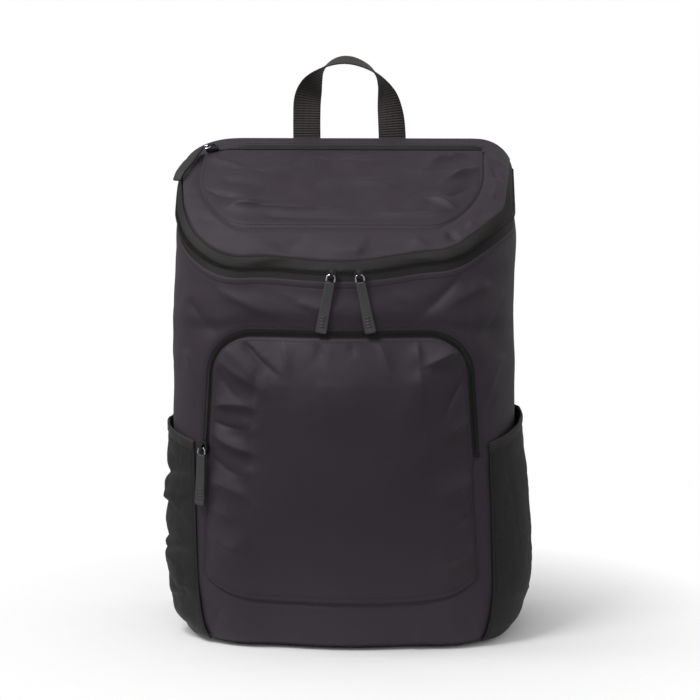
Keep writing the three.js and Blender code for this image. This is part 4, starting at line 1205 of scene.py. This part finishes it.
def sidePieces(name, side):
    low, size = sidePocket["low"], sidePocket
    share = (size["patchFront"] - size["rear"]) / (size["front"] - size["rear"])
    points = sideGrid(
        name, side, size["columns"], size["rows"], size["meshLift"], lambda v, top: mix(low, top + 1, v),
    )
    piece = clothPiece(name + "MeshPocket", points, size["thickness"])
    dress(piece, sideMesh, "mesh", name + "_mesh_pocket")
    edge = sideGrid(
        name, side, size["columns"], size["bindingRows"], size["bindingLift"],
        lambda v, top: top + size["binding"] * v,
    )
    binding = clothPiece(name + "PocketBinding", rounded(edge, size["bindingRound"]), size["bindingThickness"])
    dress(binding, bindingFinish, "webbing", name + "_pocket_binding")
    cells = size["patchColumns"], size["patchRows"]
    foot = sideGrid(
        name, side, *cells, size["patchLift"],
        lambda v, top: mix(low + 1, size["patchTop"], v) + 0 * top, share,
    )
    s, v = grid(*cells)
    tuck = 1 - ease(np.minimum(np.minimum(s, 1 - s) * size["tuckSides"], v * size["tuckFoot"]), 0, 1)
    foot = lifted(foot, swellOf(size["patchSwell"], foot[..., 1], foot[..., 2]) - size["patchTuck"] * tuck)
    patched = clothPiece(name + "SidePatch", foot, size["patchThickness"])
    dress(patched, clothFinish, "cloth", name + "_side_patch")
    lines = (foot, -2), (edge, 2), (points, (slice(2, -1), 2 if side > 0 else -3))
    stitchPiece(name + "PocketStitches", "cloth", *lines, rise=size["stitchRise"])


sidePieces("left", -1)
sidePieces("right", 1)
print("side pockets made")


# back panel and base: padded slabs with soft edges
slabs = {
    "thickness": 10, "columns": 110, "rows": 90, "edge": 4, "puff": 1.2, "low": 3.0, "inset": 0.5,
    "over": 1.2, "halfWidth": 140, "halfHeight": 190, "swell": 60, "baseEdge": 1.2, "leanFade": (330, 370),
}


def backPanel():
    size = slabs
    steps = np.sin(np.pi / 2 * np.linspace(-1, 1, size["rows"]))
    around = np.concatenate([steps, steps[::-1]])
    face = np.repeat([1, -1], len(steps))
    s = np.sin(np.pi / 2 * np.linspace(-1, 1, size["columns"] + 1))[:, None]
    rimHalf = sectionAt(bag["rimLevel"])["half"]
    top = lidHeight(s * (rimHalf - size["inset"]), bag["lidRear"] + 0 * s) + size["over"]
    z = mix(size["low"], top, (around + 1) / 2)
    section = sectionAt(z)
    x = section["lean"] * (1 - ease(z, *size["leanFade"])) + s * (section["half"] - size["inset"])
    inX = np.clip((1 - np.abs(s)) * size["halfWidth"] / size["edge"], 0, 1)
    inZ = np.clip((1 - np.abs(around)) * size["halfHeight"] / size["edge"], 0, 1)
    soft = np.sqrt(1 - (1 - inX) ** 2) * np.sqrt(1 - (1 - inZ) ** 2)
    swell = size["puff"] * (ripple(x / size["swell"], z / size["swell"], 51) - 0.6) * (face > 0)
    half = size["thickness"] / 2
    rings = joined(x, bag["backPlane"] - half + face * half * soft + swell * soft, z)
    rings = np.concatenate([rings, rings[:, :1]], 1)
    piece = clothPiece("backPanelCloth", rings, uv=joined(rings[..., 0], rings[..., 2]), wrap=True)
    dress(piece, clothFinish, "cloth", "back_panel")


def flatUv(bm):
    layer = bm.loops.layers.uv.new("cloth")
    for face in bm.faces:
        for loop in face.loops:
            loop[layer].uv = loop.vert.co.xy


backPanel()
bm = roundedCopy("base_panel", slabs["baseEdge"])
flatUv(bm)
base = dress(linkMesh("baseCloth", bm), clothFinish, "cloth", "base_panel")
print("back and base made")


# haul handle: ribbed webbing, turned on itself at the top
haulHandle = {
    "width": 24, "thickness": 1.8, "y": 89.4, "rows": 420, "rib": 2.2, "ribHeight": 0.12, "corners": 28,
    "way": tableOf(
        "x z turn",
        (-39.3, 384, 0), (-39.3, 412, 0), (-39.3, 438, 0), (-38.6, 452, 12), (-35.6, 463, 36),
        (-31.5, 471, 60), (-26.5, 477.5, 82), (-20, 482.5, 95), (-12.5, 485.6, 102), (-5, 486.5, 104),
        (4, 485, 102), (15, 480, 95), (23, 473, 82), (28, 465, 65), (31.5, 456, 45), (33.6, 446, 28),
        (35.4, 432, 10), (36.3, 412, 0), (36.3, 384, 0),
    ),
}


def handleBand():
    size = haulHandle
    knots = lengthsOf(joined(size["way"]["x"], size["way"]["z"]))
    along = np.linspace(0, knots[-1], size["rows"])
    read = readTable({"way": knots, **size["way"]}, "way", along)
    points = joined(read["x"], size["y"], read["z"])
    run = unit(np.gradient(points, axis=0))
    turn = np.radians(read["turn"])[:, None]
    across = joined(run[:, 2], 0, -run[:, 0]) * np.cos(turn) + np.array([0, 1, 0]) * np.sin(turn)
    rib = 1 + size["ribHeight"] * np.sin(2 * np.pi * along / size["rib"])
    flat = roundSection(size["width"], size["thickness"], size["corners"], 5)
    section = flat[None] * joined(np.ones_like(rib), rib)[:, None]
    rings = sweep(points, across, section)
    piece = clothPiece("handleWebbing", rings, uv=bandUv(rings, along), wrap=True)
    dress(piece, webbingFinish, "webbing", "haul_handle")


def bandUv(rings, along):
    around = np.linspace(0, 50, rings.shape[1])
    return joined(around[None, :], np.asarray(along)[:, None])


handleBand()
print("handle made")


# shoulder straps: padded, narrowing to a tongue, with buckle and webbing
shoulderStrap = {
    "rows": 150, "corners": 44, "seam": 0.72, "seamAt": (0.72, 0.84, 0.9, 0.98), "turnZ": (-180, -150),
    "way": tableOf(
        "z x off width thick",
        (404, 80, 0.4, 54, 6), (390, 80, 0.4, 56, 10), (370, 80, 5, 57, 11), (335, 81, 18, 58, 11),
        (290, 84, 28, 58, 11), (240, 88, 31, 57, 11), (200, 92, 28.5, 52, 10), (176, 94, 24, 40, 7),
        (162, 96, 20.2, 26, 2.4), (139, 101.6, 15.8, 25, 2.4),
    ),
    "webbingWidth": 25, "webbingThickness": 1.4, "webbingRows": 260, "webbingCorners": 20,
    "buckleX": 103, "buckleZ": 133, "buckleOut": 20, "buckleEdge": 0.7,
    "endX": 126, "endZ": 38, "endLength": 22, "endGap": 0.4,
    "webbing": tableOf(
        "along out",
        (68, 6.5), (40, 4.6), (13, 3.4), (4, 3.2), (0.4, 2.8), (-1, 1.6), (-1.5, 0), (-1, -1.6), (0.4, -2.8),
        (4, -3.2), (13, -3.4), (40, -4.4),
    ),
}


def strap(name, side):
    size = shoulderStrap
    middle = np.array([side * size["buckleX"], bag["backPlane"] + size["buckleOut"], size["buckleZ"]], float)
    endY = bag["backPlane"] + size["endGap"] + size["webbingThickness"] / 2
    end = np.array([side * size["endX"], endY, size["endZ"]])
    along = unit(end - middle)
    wide = unit(np.array([-along[2], 0, along[0]]))
    out = unit(np.cross(along, wide))
    out = out if out[1] > 0 else -out
    way = size["way"]
    rows = np.stack([
        side * way["x"], bag["backPlane"] + way["off"] + way["thick"] / 2, way["z"], way["width"], way["thick"],
    ], 1)
    rows = smoothWay(rows, size["rows"])
    turned = ease(-rows[:, 2], *size["turnZ"])[:, None]
    across = mix(np.array([1.0, 0, 0]), wide * (1 if wide[0] > 0 else -1), turned)
    ring = roundSection(2, 2, size["corners"], 4)
    section = ring[None] * joined(rows[:, 3] / 2, rows[:, 4] / 2)[:, None]
    rim = np.abs(ring[:, 0])[None, :]
    section[..., 1] *= mix(1, size["seam"], band(rim, *size["seamAt"]))
    rings = sweep(rows[:, :3], across, section)
    gone = lengthsOf(rows[:, :3])
    piece = clothPiece(name + "ShoulderStrap", rings, uv=bandUv(rings, gone), wrap=True)
    dress(piece, clothFinish, "cloth", name + "_shoulder_strap")
    way = [middle + along * a + out * b for a, b in zip(size["webbing"]["along"], size["webbing"]["out"])]
    down = unit(np.array([along[0], 0, along[2]]))
    way = smoothWay(way + [end - down * size["endLength"], end], size["webbingRows"])
    flat = roundSection(size["webbingWidth"], size["webbingThickness"], size["webbingCorners"], 5)
    rings = sweep(way, np.repeat(wide[None], len(way), 0), flat)
    piece = clothPiece(name + "StrapWebbing", rings, uv=bandUv(rings, lengthsOf(way)), wrap=True)
    dress(piece, webbingFinish, "webbing", name + "_strap_webbing")
    bm = roundedCopy(name + "_strap_buckle", size["buckleEdge"])
    dress(linkMesh(name + "Buckle", bm), plasticFinish, "buckle_plastic", name + "_strap_buckle")


strap("left", -1)
strap("right", 1)
print("straps made")


# zip pulls: slider, wire bail and tab; flat tabs have a recess and grip bars near their free end
grip = {
    "least": 0.00015, "rim": 0.0013, "recess": 0.0003, "bars": 4, "pitch": 0.0026, "start": 0.008,
    "width": 0.0046, "thick": 0.001, "height": 0.0005,
}


def gripTab(bm):
    flat = [face for face in bm.faces if face.calc_area() > grip["least"]]
    bmesh.ops.inset_individual(
        bm, faces=flat, thickness=grip["rim"], depth=-grip["recess"], use_even_offset=True,
    )
    for face in flat:
        out, middle = face.normal.copy(), face.calc_center_median()
        longest = max(face.edges, key=lambda edge: edge.calc_length())
        down = (longest.verts[0].co - longest.verts[1].co).normalized()
        down = down if down.z < 0 else -down
        sides = out.cross(down) * grip["width"], down * grip["thick"], out * grip["height"]
        basis = Matrix(sides).transposed().to_4x4()
        for bar in range(grip["bars"]):
            place = middle + down * (grip["start"] + bar * grip["pitch"])
            bmesh.ops.create_cube(bm, size=1, matrix=Matrix.Translation(place) @ basis)


for name in ("main_left", "main_right", "pocket", "lid"):
    for part, edge, segments, finish, slot in (
        ("slider", 0.45, 2, enamelFinish, "slider_enamel"), ("bail", 0.05, 1, metalFinish, "zip_metal"),
        ("pull_tab", 0.6, 2, lidRubberFinish if name == "lid" else rubberFinish, "pull_rubber"),
    ):
        node = name + "_" + part
        words = node.split("_")
        pieceName = words[0] + "".join(word.title() for word in words[1:])
        bm = roundedCopy(node, edge, segments)
        if part == "pull_tab":
            gripTab(bm)
        piece = linkMesh(pieceName, bm)
        if part == "bail":
            wire = piece.modifiers.new("round wire", "SUBSURF")
            wire.levels = wire.render_levels = 2
        dress(piece, finish, slot, node)
print("zip pulls made")


# floor, light and camera
studio = {
    "aim": (2.7, 0, 241), "turn": 2.5, "rise": 8, "distance": 2200, "lens": 131.6,
    "floorTone": (0.95, 0.95, 0.95), "floorRadius": 6, "floorGrain": 40.0, "fadeFrom": 0.12, "fadeOver": 0.24,
    "worldLight": 0.31, "lightAim": (0, 0, 0.22),
    "lights": (
        ((-0.95, -1.15, 2.4), 0.8, 36), ((0.1, -1.8, 1.1), 1.2, 4),
        ((-1.8, -0.2, 1.6), 0.7, 13), ((1.5, 0.5, 0.7), 1.0, 3.2), ((0, 0.3, 2.4), 1.6, 2),
    ),
}


def makeFloor():
    bm = bmesh.new()
    bmesh.ops.create_circle(bm, cap_ends=True, segments=96, radius=studio["floorRadius"])
    floor = linkMesh("floor", bm, False)
    tone = Finish(bpy.data.materials.new("pale floor"))
    place = tone.node("ShaderNodeTexCoord", {}, {}, "Object")
    reach = tone.node("ShaderNodeVectorMath", {"operation": "LENGTH"}, {0: place}, "Value")
    grain = tone.node("ShaderNodeTexNoise", {}, {"Vector": place, "Scale": studio["floorGrain"]}, "Fac")
    pale = tone.blend(grain, studio["floorTone"], tuple(value * 1.04 for value in studio["floorTone"]))
    matt = tone.node("ShaderNodeBsdfDiffuse", {}, {"Color": pale})
    clear = tone.node("ShaderNodeBsdfTransparent")
    away = ((reach - studio["fadeFrom"]) / studio["fadeOver"]).least(1.0).most(0.0)
    mixed = tone.node("ShaderNodeMixShader", {}, {0: away, 1: matt, 2: clear})
    tone.node("ShaderNodeOutputMaterial", {"is_active_output": True}, {"Surface": mixed})
    floor.data.materials.append(tone.owner)
    floor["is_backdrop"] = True


# white to the camera, dimmer as a light
def makeWorld():
    world = bpy.data.worlds.new("studio")
    tone = Finish(world)
    seen = tone.node("ShaderNodeBackground", {}, {"Color": (1, 1, 1, 1)})
    lit = tone.node("ShaderNodeBackground", {}, {"Color": (1, 1, 1, 1), "Strength": studio["worldLight"]})
    ray = tone.node("ShaderNodeLightPath", {}, {}, "Is Camera Ray")
    mixed = tone.node("ShaderNodeMixShader", {}, {0: ray, 1: lit, 2: seen})
    tone.node("ShaderNodeOutputWorld", {}, {"Surface": mixed})
    bpy.context.scene.world = world


def makeLights():
    for number, (place, size, power) in enumerate(studio["lights"]):
        light = bpy.data.lights.new(f"soft light {number}", "AREA")
        light.energy, light.size = power, size
        lamp = bpy.data.objects.new(light.name, light)
        lamp.location = place
        aim = Vector(studio["lightAim"]) - Vector(place)
        lamp.rotation_euler = aim.to_track_quat("-Z", "Y").to_euler()
        bpy.context.scene.collection.objects.link(lamp)


def makeCamera():
    turn, rise = math.radians(studio["turn"]), math.radians(studio["rise"])
    back = Vector((math.sin(turn) * math.cos(rise), -math.cos(turn) * math.cos(rise), math.sin(rise)))
    data = bpy.data.cameras.new("camera")
    data.lens, data.sensor_width = studio["lens"], 36
    camera = bpy.data.objects.new("camera", data)
    camera.location = Vector(toPart(studio["aim"])) + back * studio["distance"] / 1000
    camera.rotation_euler = (-back).to_track_quat("-Z", "Y").to_euler()
    bpy.context.scene.collection.objects.link(camera)
    bpy.context.scene.camera = camera


makeFloor()
makeWorld()
makeLights()
makeCamera()
bpy.context.scene.view_settings.view_transform = "Standard"
print("studio made")

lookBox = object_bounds()
{name: [list(corner) for corner in box] for name, box in (("cad", cadBox), ("visual", lookBox))}
